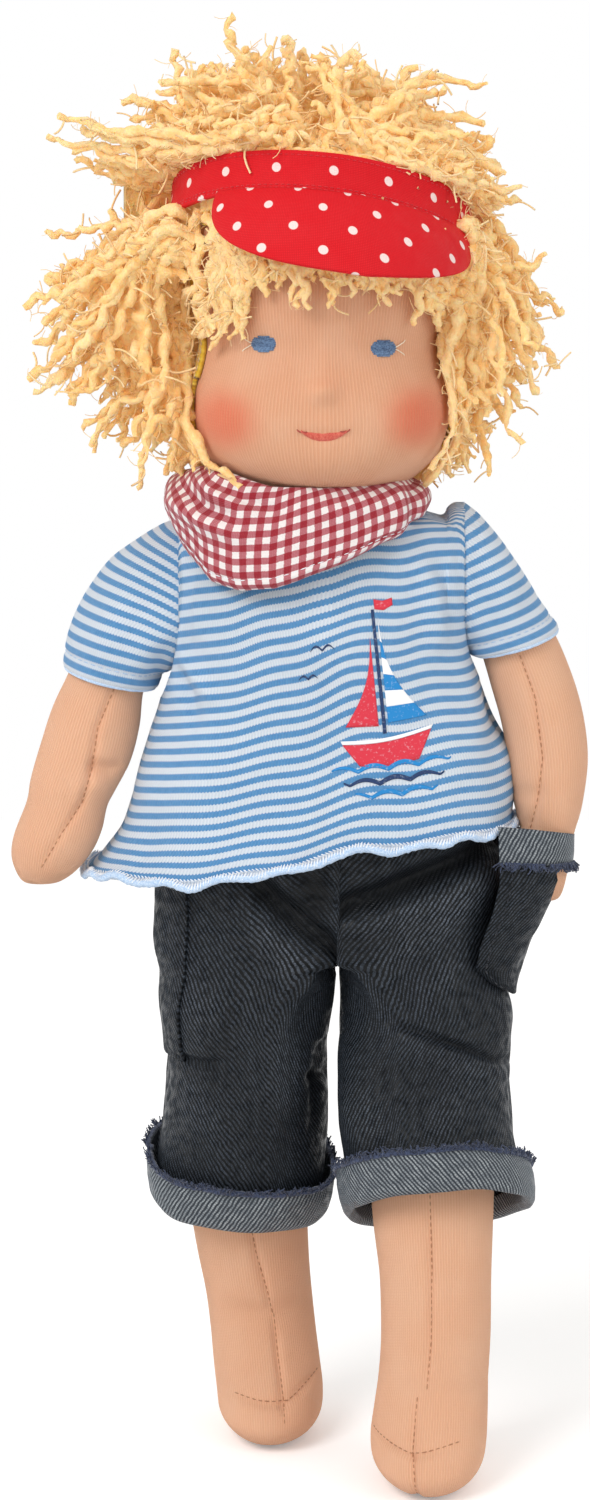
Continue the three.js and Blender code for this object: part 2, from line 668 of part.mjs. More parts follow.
// Head: a firm ball with full cheeks, drawn in at the eye line, and a small nose
const head = { x: 0, y: neckY, foot: neckHeight, height: 108, width: 41, depth: 41 };
const headShares = [
  [0, 0.36, 0.36, 0.4, 0, 0, 2],
  [0.015, 0.6, 0.62, 0.6, 0, 0, 2],
  [0.06, 0.79, 0.83, 0.76, 0, 0, 2.1],
  [0.12, 0.885, 0.94, 0.84, 0, 0, 2.2],
  [0.2, 0.93, 0.985, 0.9, 0, 0, 2.25],
  [0.28, 0.92, 0.975, 0.95, 0, 0, 2.2],
  [0.36, 0.875, 0.93, 0.98, 0, 0, 2.15],
  [0.41, 0.865, 0.915, 1, 0, 0, 2.1],
  [0.48, 0.9, 0.945, 1.02, 0, 0, 2.1],
  [0.58, 0.96, 0.98, 1.04, 0, 0, 2.05],
  [0.7, 0.99, 0.97, 1.03, 0, 0, 2],
  [0.81, 0.93, 0.87, 0.95, 0, 0, 2],
  [0.9, 0.76, 0.68, 0.76, 0, 0, 2],
  [0.965, 0.49, 0.43, 0.48, 0, 0, 2],
  [0.995, 0.2, 0.17, 0.2, 0, 0, 2],
];
const nose = { halfWidth: 3.6, halfTall: 3.2, stand: 2.4 };
const noseRiseShare = 0.296; // up the head
const headRings = (grow) => {
  const rings = column(headShares, head, grow, { count: 24 });
  if (grow) {
    rings[0].forEach((p) => (p.z -= grow));
    rings[rings.length - 1].forEach((p) => (p.z += grow));
  }
  return rings;
};
const headFront = (share) => {
  const k = headShares.findIndex(([h]) => h > share);
  const [a, b] = [headShares[k - 1], headShares[k]];
  const t = (share - a[0]) / (b[0] - a[0]);
  return head.y - (a[2] + (b[2] - a[2]) * t) * head.depth;
};
{
  const bump = new THREE.SphereGeometry(1, ballSides, ballRings);
  bump.scale(nose.halfWidth, nose.stand * 2, nose.halfTall);
  bump.translate(head.x, headFront(noseRiseShare) + nose.stand, head.foot + noseRiseShare * head.height);
  add("head", loft(headRings(0)).add(solidOf(bump)), skinColor);
}

// Embroidered eyes and mouth: thin pads of satin stitch on the face
const stitchStand = 0.6;
const eye = { out: 17.3, halfWidth: 3.9, halfTall: 2.9 };
const eyeRiseShare = 0.403; // up the head
const mouth = { halfWidth: 8.6, cornerRise: 1.1, topDip: 0.85, bottomDip: 5.4 };
const mouthRiseShare = 0.1715;
const faceSheet = loft(headRings(seatGap + stitchStand)).subtract(loft(headRings(seatGap)));
function onFace(outline, x, riseShare) {
  const through = { depth: head.depth * 2, bevelEnabled: false, curveSegments: 12 };
  const prism = new THREE.ExtrudeGeometry(outline, through);
  prism.rotateX(Math.PI / 2);
  prism.translate(x, head.y, head.foot + riseShare * head.height);
  return largest(faceSheet.intersect(solidOf(prism)));
}
const eyeOutline = new THREE.Shape().absellipse(0, 0, eye.halfWidth, eye.halfTall, 0, Math.PI * 2);
add("eye_left", onFace(eyeOutline, eye.out, eyeRiseShare), 0x4d6c93);
add("eye_right", onFace(eyeOutline, -eye.out, eyeRiseShare), 0x4d6c93);
const mouthOutline = new THREE.Shape();
mouthOutline.moveTo(-mouth.halfWidth, mouth.cornerRise);
mouthOutline.quadraticCurveTo(0, -mouth.topDip, mouth.halfWidth, mouth.cornerRise);
mouthOutline.quadraticCurveTo(0, -mouth.bottomDip, -mouth.halfWidth, mouth.cornerRise);
add("mouth", onFace(mouthOutline, 0, mouthRiseShare), 0xcb5a4c);

// Crocheted wig cap: over the crown, temples and back of the head, open round the face
const wigCap = { thick: 2.4, faceTop: 378, faceBack: -10, nape: 312 };
const faceCut = block(
  [-cutterReach, -cutterReach, -cutterReach],
  [cutterReach, wigCap.faceBack, wigCap.faceTop],
).add(block([-cutterReach, -cutterReach, -cutterReach], [cutterReach, cutterReach, wigCap.nape]));
const capShell = loft(headRings(seatGap + wigCap.thick)).subtract(loft(headRings(seatGap)));
add("wig_cap", largest(capShell.subtract(faceCut)), 0xe7c33c);

// The visor's band lies in a plane that falls towards the nape
const visor = { bandTall: 12.5, thick: 2, over: 4 };
const visorRiseShare = 8 / 9; // the band's front, up the head
const visorFallShare = 0.4; // drop to the nape, of the depth
const visorLeanShare = 0.1; // drop to the doll's left, of the width
const visorHeight = head.foot + head.height * visorRiseShare;
const visorPlane = (x, y) => visorHeight - (y + head.depth) * visorFallShare - x * visorLeanShare;

// A slab between two heights above the visor's plane
function visorSlab(low, high) {
  const size = cutterReach;
  const corners = [];
  for (const z of [low, high])
    for (const [x, y] of [[-size, -size], [size, -size], [size, size], [-size, size]])
      corners.push(new THREE.Vector3(x, y, visorPlane(x, y) + z));
  return loft([corners.slice(0, 4), corners.slice(4)]);
}

// Hair: a dense mass of yarn sewn all over the cap, with the thick ends of its locks standing out of it
const hairInner = seatGap + wigCap.thick + seatGap;
const hair = { side: 60, front: 51, back: 58, top: 66, below: 62, floor: 303 };
const hairMiddleShare = 0.58; // the middle of the mass, up the head
const lumpShare = 0.09;
const hairCount = 18;
const hairRises = [-64, -44, -24, -6, 12, 30, 48, 64, 78];
const headMiddle = new THREE.Vector3(head.x, head.y, head.foot + head.height * hairMiddleShare);

// A steady spread of numbers from -1 to 1, the same on every run
function spread(k) {
  const v = Math.sin(k * 12.9898 + 4.1414) * 43758.5453;
  return (v - Math.floor(v)) * 2 - 1;
}

// A direction from the head's middle: azimuth 0 is ahead and 90 the doll's left, rise is up
function headDirection(azimuth, rise) {
  const a = THREE.MathUtils.degToRad(azimuth);
  const e = THREE.MathUtils.degToRad(rise);
  return new THREE.Vector3(Math.sin(a) * Math.cos(e), -Math.cos(a) * Math.cos(e), Math.sin(e));
}

function hairPoint(azimuth, rise, share) {
  const direction = headDirection(azimuth, rise);
  const depth = direction.y < 0 ? hair.front : hair.back;
  const tall = direction.z > 0 ? hair.top : hair.below;
  return headMiddle.clone().addScaledVector(
    direction.multiply(new THREE.Vector3(hair.side, depth, tall)),
    share,
  );
}

const hairMass = loft(
  hairRises.map((rise, r) =>
    Array.from({ length: hairCount }, (unused, i) => {
      const azimuth = ((i + (r % 2) / 2) / hairCount) * 360;
      return hairPoint(azimuth, rise, 1 + lumpShare * spread(r * 17 + i * 5));
    }),
  ),
);

// A lock's end: a tapered tube from inside the mass outwards, sagging as it goes
const lock = { root: 7.5, tip: 2.6, wave: 5 };
const lockSides = 5;
const lockSteps = 3;
const lockTurn = 4; // radians of wave along a lock
const lockSpread = 7; // degrees
const lockRootShare = 0.72;
function lockSolid(azimuth, rise, reachShare, droop, phase) {
  const root = hairPoint(azimuth, rise, lockRootShare);
  const end = hairPoint(azimuth, rise, reachShare);
  const direction = end.clone().sub(root);
  const length = direction.length();
  const side = new THREE.Vector3().crossVectors(direction, new THREE.Vector3(0, 0, 1)).normalize();
  const path = [];
  for (let i = 0; i <= lockSteps; i++) {
    const t = i / lockSteps;
    const p = root.clone().addScaledVector(direction, t);
    p.z -= droop * length * t * t;
    p.addScaledVector(side, lock.wave * Math.sin(phase + t * lockTurn) * t);
    path.push(p);
  }
  const frames = new THREE.CatmullRomCurve3(path).computeFrenetFrames(lockSteps, false);
  const rings = path.map((p, i) => {
    const radius = lock.root + (lock.tip - lock.root) * (i / lockSteps);
    const points = [];
    for (let s = 0; s < lockSides; s++) {
      const a = (s / lockSides) * Math.PI * 2;
      points.push(
        p
          .clone()
          .addScaledVector(frames.normals[i], Math.cos(a) * radius)
          .addScaledVector(frames.binormals[i], Math.sin(a) * radius),
      );
    }
    return points;
  });
  return loft(rings);
}

// One piece of the hair. rows: rise, first and last azimuth, count, reach as a share of the mass, droop
function hairPiece(rows, room, seed) {
  let solid = hairMass;
  rows.forEach(([rise, from, to, count, reachShare, droop], r) => {
    for (let i = 0; i < count; i++) {
      const k = seed + r * 31 + i * 7;
      const azimuth = from + ((to - from) * (i + 1 / 2 + spread(k) / 4)) / count;
      const reach = reachShare * (1 + spread(k + 3) * lumpShare);
      solid = solid.add(lockSolid(azimuth, rise + spread(k + 1) * lockSpread, reach, droop, spread(k + 4) * 3));
    }
  });
  return largest(solid.intersect(room));
}

const bandLow = -visor.bandTall / 2 - clothGap;
const bandHigh = visor.bandTall / 2 + clothGap;
const aboveFloor = block([-cutterReach, -cutterReach, hair.floor], [cutterReach, cutterReach, cutterReach * 2]);
const skull = loft(headRings(hairInner));
const cheekCover = 33; // locks beside the face reach this near to its middle
const faceCorner = [cheekCover, wigCap.faceBack, wigCap.faceTop];
const faceRoom = block([-cheekCover, -cutterReach, -cutterReach], faceCorner);
const belowBand = visorSlab(-cutterReach, bandLow).intersect(aboveFloor).subtract(faceRoom).subtract(skull);
const crownRoom = visorSlab(bandHigh, cutterReach).subtract(skull);
const sideBackY = 14;
const sectors = {
  left: block([seatGap, wigCap.faceBack, -cutterReach], [cutterReach, sideBackY, cutterReach * 2]),
  right: block([-cutterReach, wigCap.faceBack, -cutterReach], [-seatGap, sideBackY, cutterReach * 2]),
  back: block([-cutterReach, sideBackY + seatGap, -cutterReach], [cutterReach, cutterReach, cutterReach * 2]),
};
const crownRows = [
  [76, -20, 340, 4, 1.2, 0],
  [50, -60, 300, 8, 1.26, 0],
  [28, -150, 150, 8, 1.4, 0.1],
];
const rightRows = [
  [8, -98, -78, 2, 1.48, 0.1],
  [-12, -100, -74, 2, 1.42, 0.25],
  [-32, -98, -76, 2, 1.25, 0.3],
];
const leftRows = [
  [6, 76, 100, 2, 1.3, 0.1],
  [-12, 74, 100, 2, 1.25, 0.25],
  [-32, 76, 98, 2, 1.2, 0.3],
];
const backRows = [
  [0, 120, 240, 4, 1.2, 0.3],
  [-28, 110, 250, 4, 1.15, 0.4],
];
add("hair_crown", hairPiece(crownRows, crownRoom, 11), hairColor);
add("hair_left", hairPiece(leftRows, belowBand.intersect(sectors.left), 101), hairColor);
add("hair_right", hairPiece(rightRows, belowBand.intersect(sectors.right), 203), hairColor);
add("hair_back", hairPiece(backRows, belowBand.intersect(sectors.back), 307), hairColor);

// Visor: a band over the hair base in front, an elastic behind, and a stiff curved brim
const bandInner = hairInner + visor.over;
const squeezedSlab = visorSlab(bandLow, bandHigh);
const bandShell = loft(headRings(bandInner + visor.thick)).subtract(loft(headRings(bandInner)));
const elasticFrom = 8; // y where the band ends and the elastic starts
const elasticTall = 7;
const aboveAll = cutterReach * 2;
const frontHalf = block([-cutterReach, -cutterReach, -cutterReach], [cutterReach, elasticFrom, aboveAll]);
const backCorner = [-cutterReach, elasticFrom + seatGap, -cutterReach];
const backHalf = block(backCorner, [cutterReach, cutterReach, aboveAll]);
const bandSlab = visorSlab(-visor.bandTall / 2, visor.bandTall / 2);
const elasticSlab = visorSlab(-elasticTall / 2, elasticTall / 2);
add("visor_band", largest(bandShell.intersect(bandSlab).intersect(frontHalf)), visorColor);
add("visor_elastic", largest(bandShell.intersect(elasticSlab).intersect(backHalf)), visorColor);

const brim = { drop: 23, out: 13, thick: 1.8, inset: 1.4 };
const brimHalfTurn = 58; // degrees
const brimCentreTurn = 15; // degrees towards the doll's left
const brimSteps = 16;
const brimRoundShares = [0.86, 0.84]; // of the head's width and depth, where the brim is sewn on
const brimEnds = 3.2; // the higher, the squarer the brim's ends
const brimEndShare = 0.04; // of the brim's depth, left at its ends
function brimFrom() {
  const rings = [];
  for (let i = 0; i <= brimSteps; i++) {
    const t = (i / brimSteps) * 2 - 1;
    const a = THREE.MathUtils.degToRad(brimCentreTurn + t * brimHalfTurn);
    const reachIn = bandInner + visor.thick + seatGap;
    const x = head.x + Math.sin(a) * (head.width * brimRoundShares[0] + reachIn);
    const y = head.y - Math.cos(a) * (head.depth * brimRoundShares[1] + reachIn);
    const root = new THREE.Vector3(x, y, visorPlane(x, y) - visor.bandTall / 2 + brim.inset);
    const length = Math.sqrt(Math.max(0, 1 - Math.abs(t) ** brimEnds)) + brimEndShare;
    const outward = new THREE.Vector3(Math.sin(a), -Math.cos(a), 0);
    const edge = root.clone().addScaledVector(outward, brim.out * length);
    edge.z -= brim.drop * length;
    const bend = root.clone().lerp(edge, 1 / 2).addScaledVector(outward, brim.thick * length);
    bend.z += brim.thick * length;
    const lower = new THREE.Vector3(0, 0, -brim.thick);
    const below = [edge, bend, root].map((p) => p.clone().add(lower).addScaledVector(outward, -brim.thick / 2));
    rings.push([root, bend, edge, ...below]);
  }
  const room = loft(headRings(bandInner + visor.thick + seatGap));
  return largest(loft(rings).subtract(room));
}
const brimSolid = brimFrom();
add("visor_brim", brimSolid, visorColor);

// Hair squeezed flat under the band, and the fringe that shows under the brim
{
  const under = loft(headRings(bandInner - seatGap)).subtract(skull).intersect(squeezedSlab);
  const shrink = visorSlab(bandLow + seatGap, bandHigh - seatGap);
  add("hair_under_band", largest(under.intersect(shrink)), hairColor);
}
const fringe = { halfWidth: 41, foot: 357, reach: 9 };
const fringeShares = [1, 0.3, 0.7, 0.15, 0.85, 0.4, 0.65]; // how far each lock hangs
{
  const shell = loft(headRings(hairInner + fringe.reach)).subtract(skull);
  const underBand = visorSlab(-cutterReach, bandLow);
  const frontEnd = wigCap.faceBack - seatGap;
  const front = block([-cutterReach, -cutterReach, -cutterReach], [cutterReach, frontEnd, cutterReach * 2]);
  let teeth = block([-cutterReach, -cutterReach, wigCap.faceTop], [cutterReach, cutterReach, cutterReach * 2]);
  const width = (2 * fringe.halfWidth) / fringeShares.length;
  fringeShares.forEach((share, i) => {
    const middle = (i - (fringeShares.length - 1) / 2) * width;
    const tooth = new THREE.Shape();
    const tip = fringe.foot + (1 - share) * (wigCap.faceTop - fringe.foot);
    tooth.moveTo(middle - width / 2, wigCap.faceTop + width);
    tooth.lineTo(middle, tip);
    tooth.lineTo(middle + width / 2, wigCap.faceTop + width);
    const prism = new THREE.ExtrudeGeometry(tooth, { depth: cutterReach, bevelEnabled: false });
    prism.rotateX(Math.PI / 2);
    teeth = teeth.add(solidOf(prism));
  });
  const room = underBand.intersect(front).intersect(teeth);
  add("hair_fringe", largest(shell.intersect(room).subtract(brimSolid)), hairColor);
}

export default doll;
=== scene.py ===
# %% [markdown]
# # A cloth doll in summer clothes
# A Waldorf doll is a ball of wool and a stuffed jersey skin, with yarn hair and a face of a few stitches. This
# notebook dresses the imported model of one: skin first, then clothes, then hair, so that each layer is measured from
# the one below it. Sizes are written in millimetres, as a doll maker would, and turned to metres in one place.

import json
import math

import bmesh
import bpy
import numpy as np
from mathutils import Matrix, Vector, noise
from mathutils.bvhtree import BVHTree


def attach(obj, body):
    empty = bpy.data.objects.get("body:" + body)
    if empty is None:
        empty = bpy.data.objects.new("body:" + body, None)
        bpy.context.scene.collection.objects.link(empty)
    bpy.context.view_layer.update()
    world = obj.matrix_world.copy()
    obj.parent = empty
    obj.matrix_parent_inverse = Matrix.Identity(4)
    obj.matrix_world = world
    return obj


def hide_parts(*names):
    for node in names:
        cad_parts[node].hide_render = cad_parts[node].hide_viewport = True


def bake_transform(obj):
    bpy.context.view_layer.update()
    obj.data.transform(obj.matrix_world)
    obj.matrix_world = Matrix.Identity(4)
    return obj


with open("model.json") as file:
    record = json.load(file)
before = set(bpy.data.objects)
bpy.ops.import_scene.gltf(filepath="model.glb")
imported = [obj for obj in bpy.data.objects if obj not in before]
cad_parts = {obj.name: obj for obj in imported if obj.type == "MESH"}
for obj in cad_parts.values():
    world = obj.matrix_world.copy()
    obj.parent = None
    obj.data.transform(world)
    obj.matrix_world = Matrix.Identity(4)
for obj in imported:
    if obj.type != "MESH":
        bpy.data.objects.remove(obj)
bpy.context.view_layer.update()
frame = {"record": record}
joints = {joint["name"]: joint for joint in frame["record"]["behaviour"]["joints"]}

# %% [markdown]
# The body is built about a few lines: the neck, the shoulders and the hips. The frame's joints give them, so the
# looks stay on the model when a joint moves.

# %% Lines of the body, in millimetres
MM = 0.001


def joint_place(name):
    return np.array(joints[name]["pos_m"]) / MM


neck = joint_place("head_turn")
hip = joint_place("hip_left")
shoulder = {"left": joint_place("shoulder_left"), "right": joint_place("shoulder_right")}
midline = np.array([neck[0], hip[1], 0.0])
sides = {"left": 1, "right": -1}
hip_middle = midline[0] + 5  # where the two halves of the trousers meet
bend_top, bend_foot = 0.172, 0.138  # metres: the top and foot of the trousers' bend at each hip; nothing here bends the cloth
hip_bends = {name: ("torso", f"leg_{name}", (hip_middle * MM, hip[1] * MM, bend_top),
                    (hip_middle * MM, hip[1] * MM, bend_foot)) for name in sides}
armhole_x, armhole_round, armhole_narrow = 44.0, 23.4, 1.38  # the armholes are taller than deep


def armhole_distance(grid, name):
    """How far each point lies from a shoulder's hinge line, in heights of its armhole."""
    return np.hypot((grid[..., 1] - shoulder[name][1]) * armhole_narrow, grid[..., 2] - shoulder[name][2])


print("midline", midline, "hip", hip)

# %% [markdown]
# Stuffed limbs and loose clothes are all tubes that swell and narrow. Each is drawn here as a short table of ovals,
# as a pattern cutter gives a width at each height. A smooth curve through the table gives the surface between them,
# which is rounder than a subdivided cage and keeps a length along and around for stripes, checks and ribs.

# %% Ovals and the smooth surface through them
# An oval is nine numbers: its middle's x, y and z, its half width's x and z, its depth in front and behind, its
# squareness and its tilt. Every table below is read into rows of these.


def column(shares, x, y, foot, height, width, depth, grow=0.0):
    """Ovals up a body. A row holds its height, half width, depth in front and behind, shifts and squareness."""
    ovals = []
    for row in shares:
        h, w, front, back, dx, dy, power = (list(row) + [0, 0, 2.2][len(row) - 4:])[:7]
        ovals.append([midline[0] + x + dx * width, midline[1] + y + dy * depth, foot + h * height,
                      w * width + grow, 0, front * depth + grow, back * depth + grow, power, 0])
    return np.array(ovals, float)


def limb(shares, name, out, depth):
    """Ovals across an arm or a sleeve. A row holds its inner and outer edge, its depth and how far ahead it is."""
    side, (_, y, top) = sides[name], shoulder[name]
    reach, drop = shares["reach"], shares["drop"]
    ovals = []
    for row in shares["rows"]:
        inner_out, inner_down, outer_out, outer_down, deep, dy = (list(row) + [0])[:6]
        inner = np.array([side * (out + inner_out * reach), top - inner_down * drop])
        outer = np.array([side * (out + outer_out * reach), top - outer_down * drop])
        middle, across = (inner + outer) / 2, (outer - inner) / 2 * side
        ovals.append([midline[0] + middle[0], y + dy * depth, middle[1], *across, deep * depth, deep * depth, 2, 0])
    return np.array(ovals, float)


def leg_column(shares, side, width, depth, length, stride, power=2.3):
    """Ovals down a leg or a trouser leg. A row holds its height, its two edges, its depth, its stride and tilt."""
    ovals = []
    for row in shares:
        down, inner, outer, deep, dy, tilt = (list(row) + [0])[:6]
        ovals.append([hip_middle + side * (inner + outer) * width / 2, hip[1] + dy * stride, hip[2] - down * length,
                      (outer - inner) * width / 2, 0, deep * depth, deep * depth, power, math.radians(tilt)])
    return np.array(ovals, float)


def resampled(rows, count, line=None):
    """Rows of numbers read at even lengths along a line. Without one, the rows are its points."""
    rows = np.array(rows, float)
    steps = np.linalg.norm(np.diff(rows if line is None else line, axis=0), axis=1)
    length = np.concatenate([[0], np.cumsum(steps)])
    at = np.linspace(0, length[-1], count)
    return np.stack([np.interp(at, length, column) for column in rows.T], axis=1)


def smooth_ovals(ovals, count):
    """Catmull-Rom through the table, read at even lengths."""
    padded = np.vstack([2 * ovals[0] - ovals[1], ovals, 2 * ovals[-1] - ovals[-2]])
    fine = []
    for k in range(len(ovals) - 1):
        p0, p1, p2, p3 = padded[k:k + 4]
        for t in np.linspace(0, 1, 12, endpoint=False):
            fine.append(0.5 * (2 * p1 + (p2 - p0) * t + (2 * p0 - 5 * p1 + 4 * p2 - p3) * t * t
                               + (3 * p1 - p0 - 3 * p2 + p3) * t ** 3))
    fine = np.array(fine + [ovals[-1]])
    return resampled(fine, count, fine[:, [0, 1, 2]] + fine[:, [3, 5, 4]])


def tube(ovals, along, around):
    """Grid of points, rows along and columns around; columns start at the back."""
    o = smooth_ovals(ovals, along)
    a = math.pi / 2 + np.linspace(0, 2 * math.pi, around, endpoint=False)
    power = o[:, 7:8]
    c = np.sign(np.cos(a)) * np.abs(np.cos(a)) ** (2 / power)
    s = np.sign(np.sin(a)) * np.abs(np.sin(a)) ** (2 / power)
    deep = s * np.where(s < 0, o[:, 5:6], o[:, 6:7])
    x = o[:, 0:1] + c * o[:, 3:4]
    y = o[:, 1:2] + deep
    z = o[:, 2:3] + c * o[:, 4:5] + deep * np.tan(o[:, 8:9])
    return np.stack([x, y, z], axis=-1)


def grid_normals(grid, closed=True):
    """Outward unit normals of a grid whose columns go round."""
    if closed:
        d_around = np.roll(grid, -1, axis=1) - np.roll(grid, 1, axis=1)
    else:
        d_around = np.gradient(grid, axis=1)
    d_along = np.gradient(grid, axis=0)
    normal = np.cross(d_around, d_along)
    length = np.linalg.norm(normal, axis=-1, keepdims=True)
    normal = normal / np.maximum(length, 1e-9)
    middle = grid.mean(axis=1, keepdims=True)
    if ((grid - middle) * normal).sum() < 0:
        normal = -normal
    return normal


def pushed(grid, amount, closed=True):
    return grid + grid_normals(grid, closed) * (amount[..., None] if isinstance(amount, np.ndarray) else amount)


def lengths(grid, closed=True):
    """Cloth lengths around and along the grid, in millimetres, one more column if it closes."""
    ring = np.concatenate([grid, grid[:, :1]], axis=1) if closed else grid
    around = np.linalg.norm(np.diff(ring, axis=1), axis=-1).mean(axis=0)
    u = np.concatenate([[0], np.cumsum(around)])
    along = np.linalg.norm(np.diff(ring, axis=0), axis=-1)
    v = np.concatenate([np.zeros((1, ring.shape[1])), np.cumsum(along, axis=0)])
    return np.broadcast_to(u, v.shape), v


# %% [markdown]
# A grid becomes a mesh with a UV map in metres of real cloth, so one pattern size serves every piece. A stuffed
# form gets closed ends, and cloth gets its thickness from a Solidify modifier, which is applied at once.

# %% Grid to mesh
def linked(name, data):
    """A new object in the scene."""
    made = bpy.data.objects.new(name, data)
    bpy.context.scene.collection.objects.link(made)
    return made


def new_object(name, vertices, faces, uvs, layers):
    mesh = bpy.data.meshes.new(name)
    mesh.from_pydata((np.asarray(vertices) * MM).tolist(), [], faces)
    layer = mesh.uv_layers.new(name="cloth")
    layer.data.foreach_set("uv", (np.array([uv for face in uvs for uv in face], float) * MM).ravel())
    for key, values in layers.items():
        attribute = mesh.attributes.new(key, "FLOAT", "POINT")
        attribute.data.foreach_set("value", np.asarray(values, np.float32).ravel())
    mesh.polygons.foreach_set("use_smooth", [True] * len(mesh.polygons))
    tidy = bmesh.new()
    tidy.from_mesh(mesh)
    bmesh.ops.recalc_face_normals(tidy, faces=tidy.faces)
    loose = [v for v in tidy.verts if not v.link_faces]
    bmesh.ops.delete(tidy, geom=loose, context="VERTS")
    tidy.to_mesh(mesh)
    tidy.free()
    return linked(f"{name}_look", mesh)


def evaluated_mesh(piece):
    """The smooth mesh that an object's modifiers make of it. The modifiers are removed."""
    mesh = bpy.data.meshes.new_from_object(piece.evaluated_get(bpy.context.evaluated_depsgraph_get()))
    piece.modifiers.clear()
    mesh.polygons.foreach_set("use_smooth", [True] * len(mesh.polygons))
    return mesh


def thickened(piece, thick):
    """Cloth of some millimetres' thickness, whose outside is the drawn surface."""
    solid = piece.modifiers.new("cloth", "SOLIDIFY")
    solid.thickness = thick * MM
    solid.offset = -1
    piece.data = evaluated_mesh(piece)
    return piece


def grid_object(name, grid, closed=True, ends=False, thick=0.0, uv=None, layers=None, keep=None):
    """A grid as a mesh. keep says which of its faces are wanted."""
    rows, columns = grid.shape[:2]
    u, v = uv if uv is not None else lengths(grid, closed)
    vertices = grid.reshape(-1, 3)
    faces, uvs = [], []
    last = columns if closed else columns - 1
    for r in range(rows - 1):
        for c in range(last):
            if keep is not None and not keep[r, c]:
                continue
            d = (c + 1) % columns
            faces.append([r * columns + c, r * columns + d, (r + 1) * columns + d, (r + 1) * columns + c])
            uvs.append([(u[r, c], v[r, c]), (u[r, c + 1], v[r, c + 1]), (u[r + 1, c + 1], v[r + 1, c + 1]),
                        (u[r + 1, c], v[r + 1, c])])
    if ends:
        middles = []
        for r in (0, rows - 1):
            middles.append(grid[r].mean(axis=0))
            for c in range(columns):
                d = (c + 1) % columns
                faces.append([r * columns + c, r * columns + d, len(vertices) + len(middles) - 1])
                uvs.append([(u[r, c], v[r, c]), (u[r, c + 1], v[r, c + 1]), (u[r, c], v[r, c])])
        vertices = np.vstack([vertices, middles])
    filled = {key: np.concatenate([values.ravel(), np.zeros(len(vertices) - values.size)])
              for key, values in (layers or {}).items()}
    piece = new_object(name, vertices, faces, uvs, filled)
    return thickened(piece, thick) if thick else piece


def tree_of(piece):
    return BVHTree.FromPolygons([v.co for v in piece.data.vertices], [p.vertices for p in piece.data.polygons])


def unevenness(grid, size, amount, seed=0.0):
    """Slow unevenness of a soft surface, in millimetres."""
    at = [noise.noise(Vector((p[0] / size + seed, p[1] / size, p[2] / size))) for p in grid.reshape(-1, 3)]
    return np.array(at).reshape(grid.shape[:2]) * amount


def near_line(grid, points, front):
    """Distance of each grid point to a line of (x, z) seen from the front or back, and how far along it lies."""
    x, z = grid[..., 0] - midline[0], grid[..., 2]
    best = np.full(x.shape, 1e6)
    share = np.zeros(x.shape)
    spans = np.linalg.norm(np.diff(np.array(points, float), axis=0), axis=1)
    total, done = spans.sum(), 0.0
    for (x0, z0), (x1, z1), span in zip(points, points[1:], spans):
        t = np.clip(((x - x0) * (x1 - x0) + (z - z0) * (z1 - z0)) / span ** 2, 0, 1)
        distance = np.hypot(x - x0 - t * (x1 - x0), z - z0 - t * (z1 - z0))
        share = np.where(distance < best, (done + t * span) / total, share)
        best = np.minimum(best, distance)
        done += span
    y = grid[..., 1] - grid[..., 1].mean(axis=1, keepdims=True)
    return np.where(y > 0 if front else y < 0, 1e6, best), share


def folds(grid, lines, front=True):
    """Ridges and valleys along lines of (points, height, half width), fading at both ends."""
    rise = np.zeros(grid.shape[:2])
    for points, height, half in lines:
        distance, share = near_line(grid, points, front)
        rise += height * np.exp(-(distance / half) ** 2) * np.sin(np.clip(share, 0, 1) * math.pi) ** 0.6
    return rise


def smoothstep(t):
    t = np.clip(t, 0, 1)
    return t * t * (3 - 2 * t)


finish = {}


def dressed(piece, body, cover, nodes=()):
    """Ties a finished piece to its body, names its material and hides its solids. Given a bend between two bodies, it
    only keeps the piece where it stands.
    """
    finish.setdefault(cover, []).append(piece)
    if isinstance(body, str):
        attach(piece, body)
    else:
        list(body)
        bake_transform(piece)
    if nodes:
        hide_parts(*nodes)
    return piece


# %% [markdown]
# ## The stuffed skin
# The head is a firm ball of wool, tied in at the eye line before the jersey goes over it, so the cheeks stand out
# below the eyes. The nose is a knot of wool under the skin. The face looks the way the camera does, along -Y.

# %% Head
head_shares = [
    [0, 0.3, 0.3, 0.36, 0, 0, 2], [0.012, 0.6, 0.62, 0.6, 0, 0, 2], [0.05, 0.76, 0.8, 0.74, 0, 0, 2.1],
    [0.11, 0.885, 0.93, 0.84, 0, 0, 2.2], [0.19, 0.945, 0.99, 0.9, 0, 0, 2.25],
    [0.27, 0.94, 0.985, 0.95, 0, 0, 2.2], [0.35, 0.885, 0.935, 0.98, 0, 0, 2.15],
    [0.41, 0.865, 0.915, 1, 0, 0, 2.1], [0.48, 0.9, 0.945, 1.02, 0, 0, 2.1], [0.58, 0.96, 0.98, 1.04, 0, 0, 2.05],
    [0.7, 0.99, 0.97, 1.03, 0, 0, 2], [0.81, 0.93, 0.87, 0.95, 0, 0, 2], [0.9, 0.76, 0.68, 0.76, 0, 0, 2],
    [0.965, 0.49, 0.43, 0.48, 0, 0, 2], [0.995, 0.2, 0.17, 0.2, 0, 0, 2], [1, 0.03, 0.03, 0.03, 0, 0, 2],
]
head_size = dict(x=0, y=neck[1] - midline[1], foot=301, height=108, width=41, depth=41)
head_middle = np.array([midline[0], neck[1], 363.0])
nose_at, eye_at = (0.3, 333.0), ((-17.2, 345.9), (18.0, 344.6))


def round_bump(grid, x, z, half_x, half_z, height):
    dx, dz = grid[..., 0] - midline[0] - x, grid[..., 2] - z
    front = grid[..., 1] < grid[..., 1].mean()
    reach = (dx / half_x) ** 2 + (dz / half_z) ** 2
    return np.where(front, height * np.exp(-reach), 0)


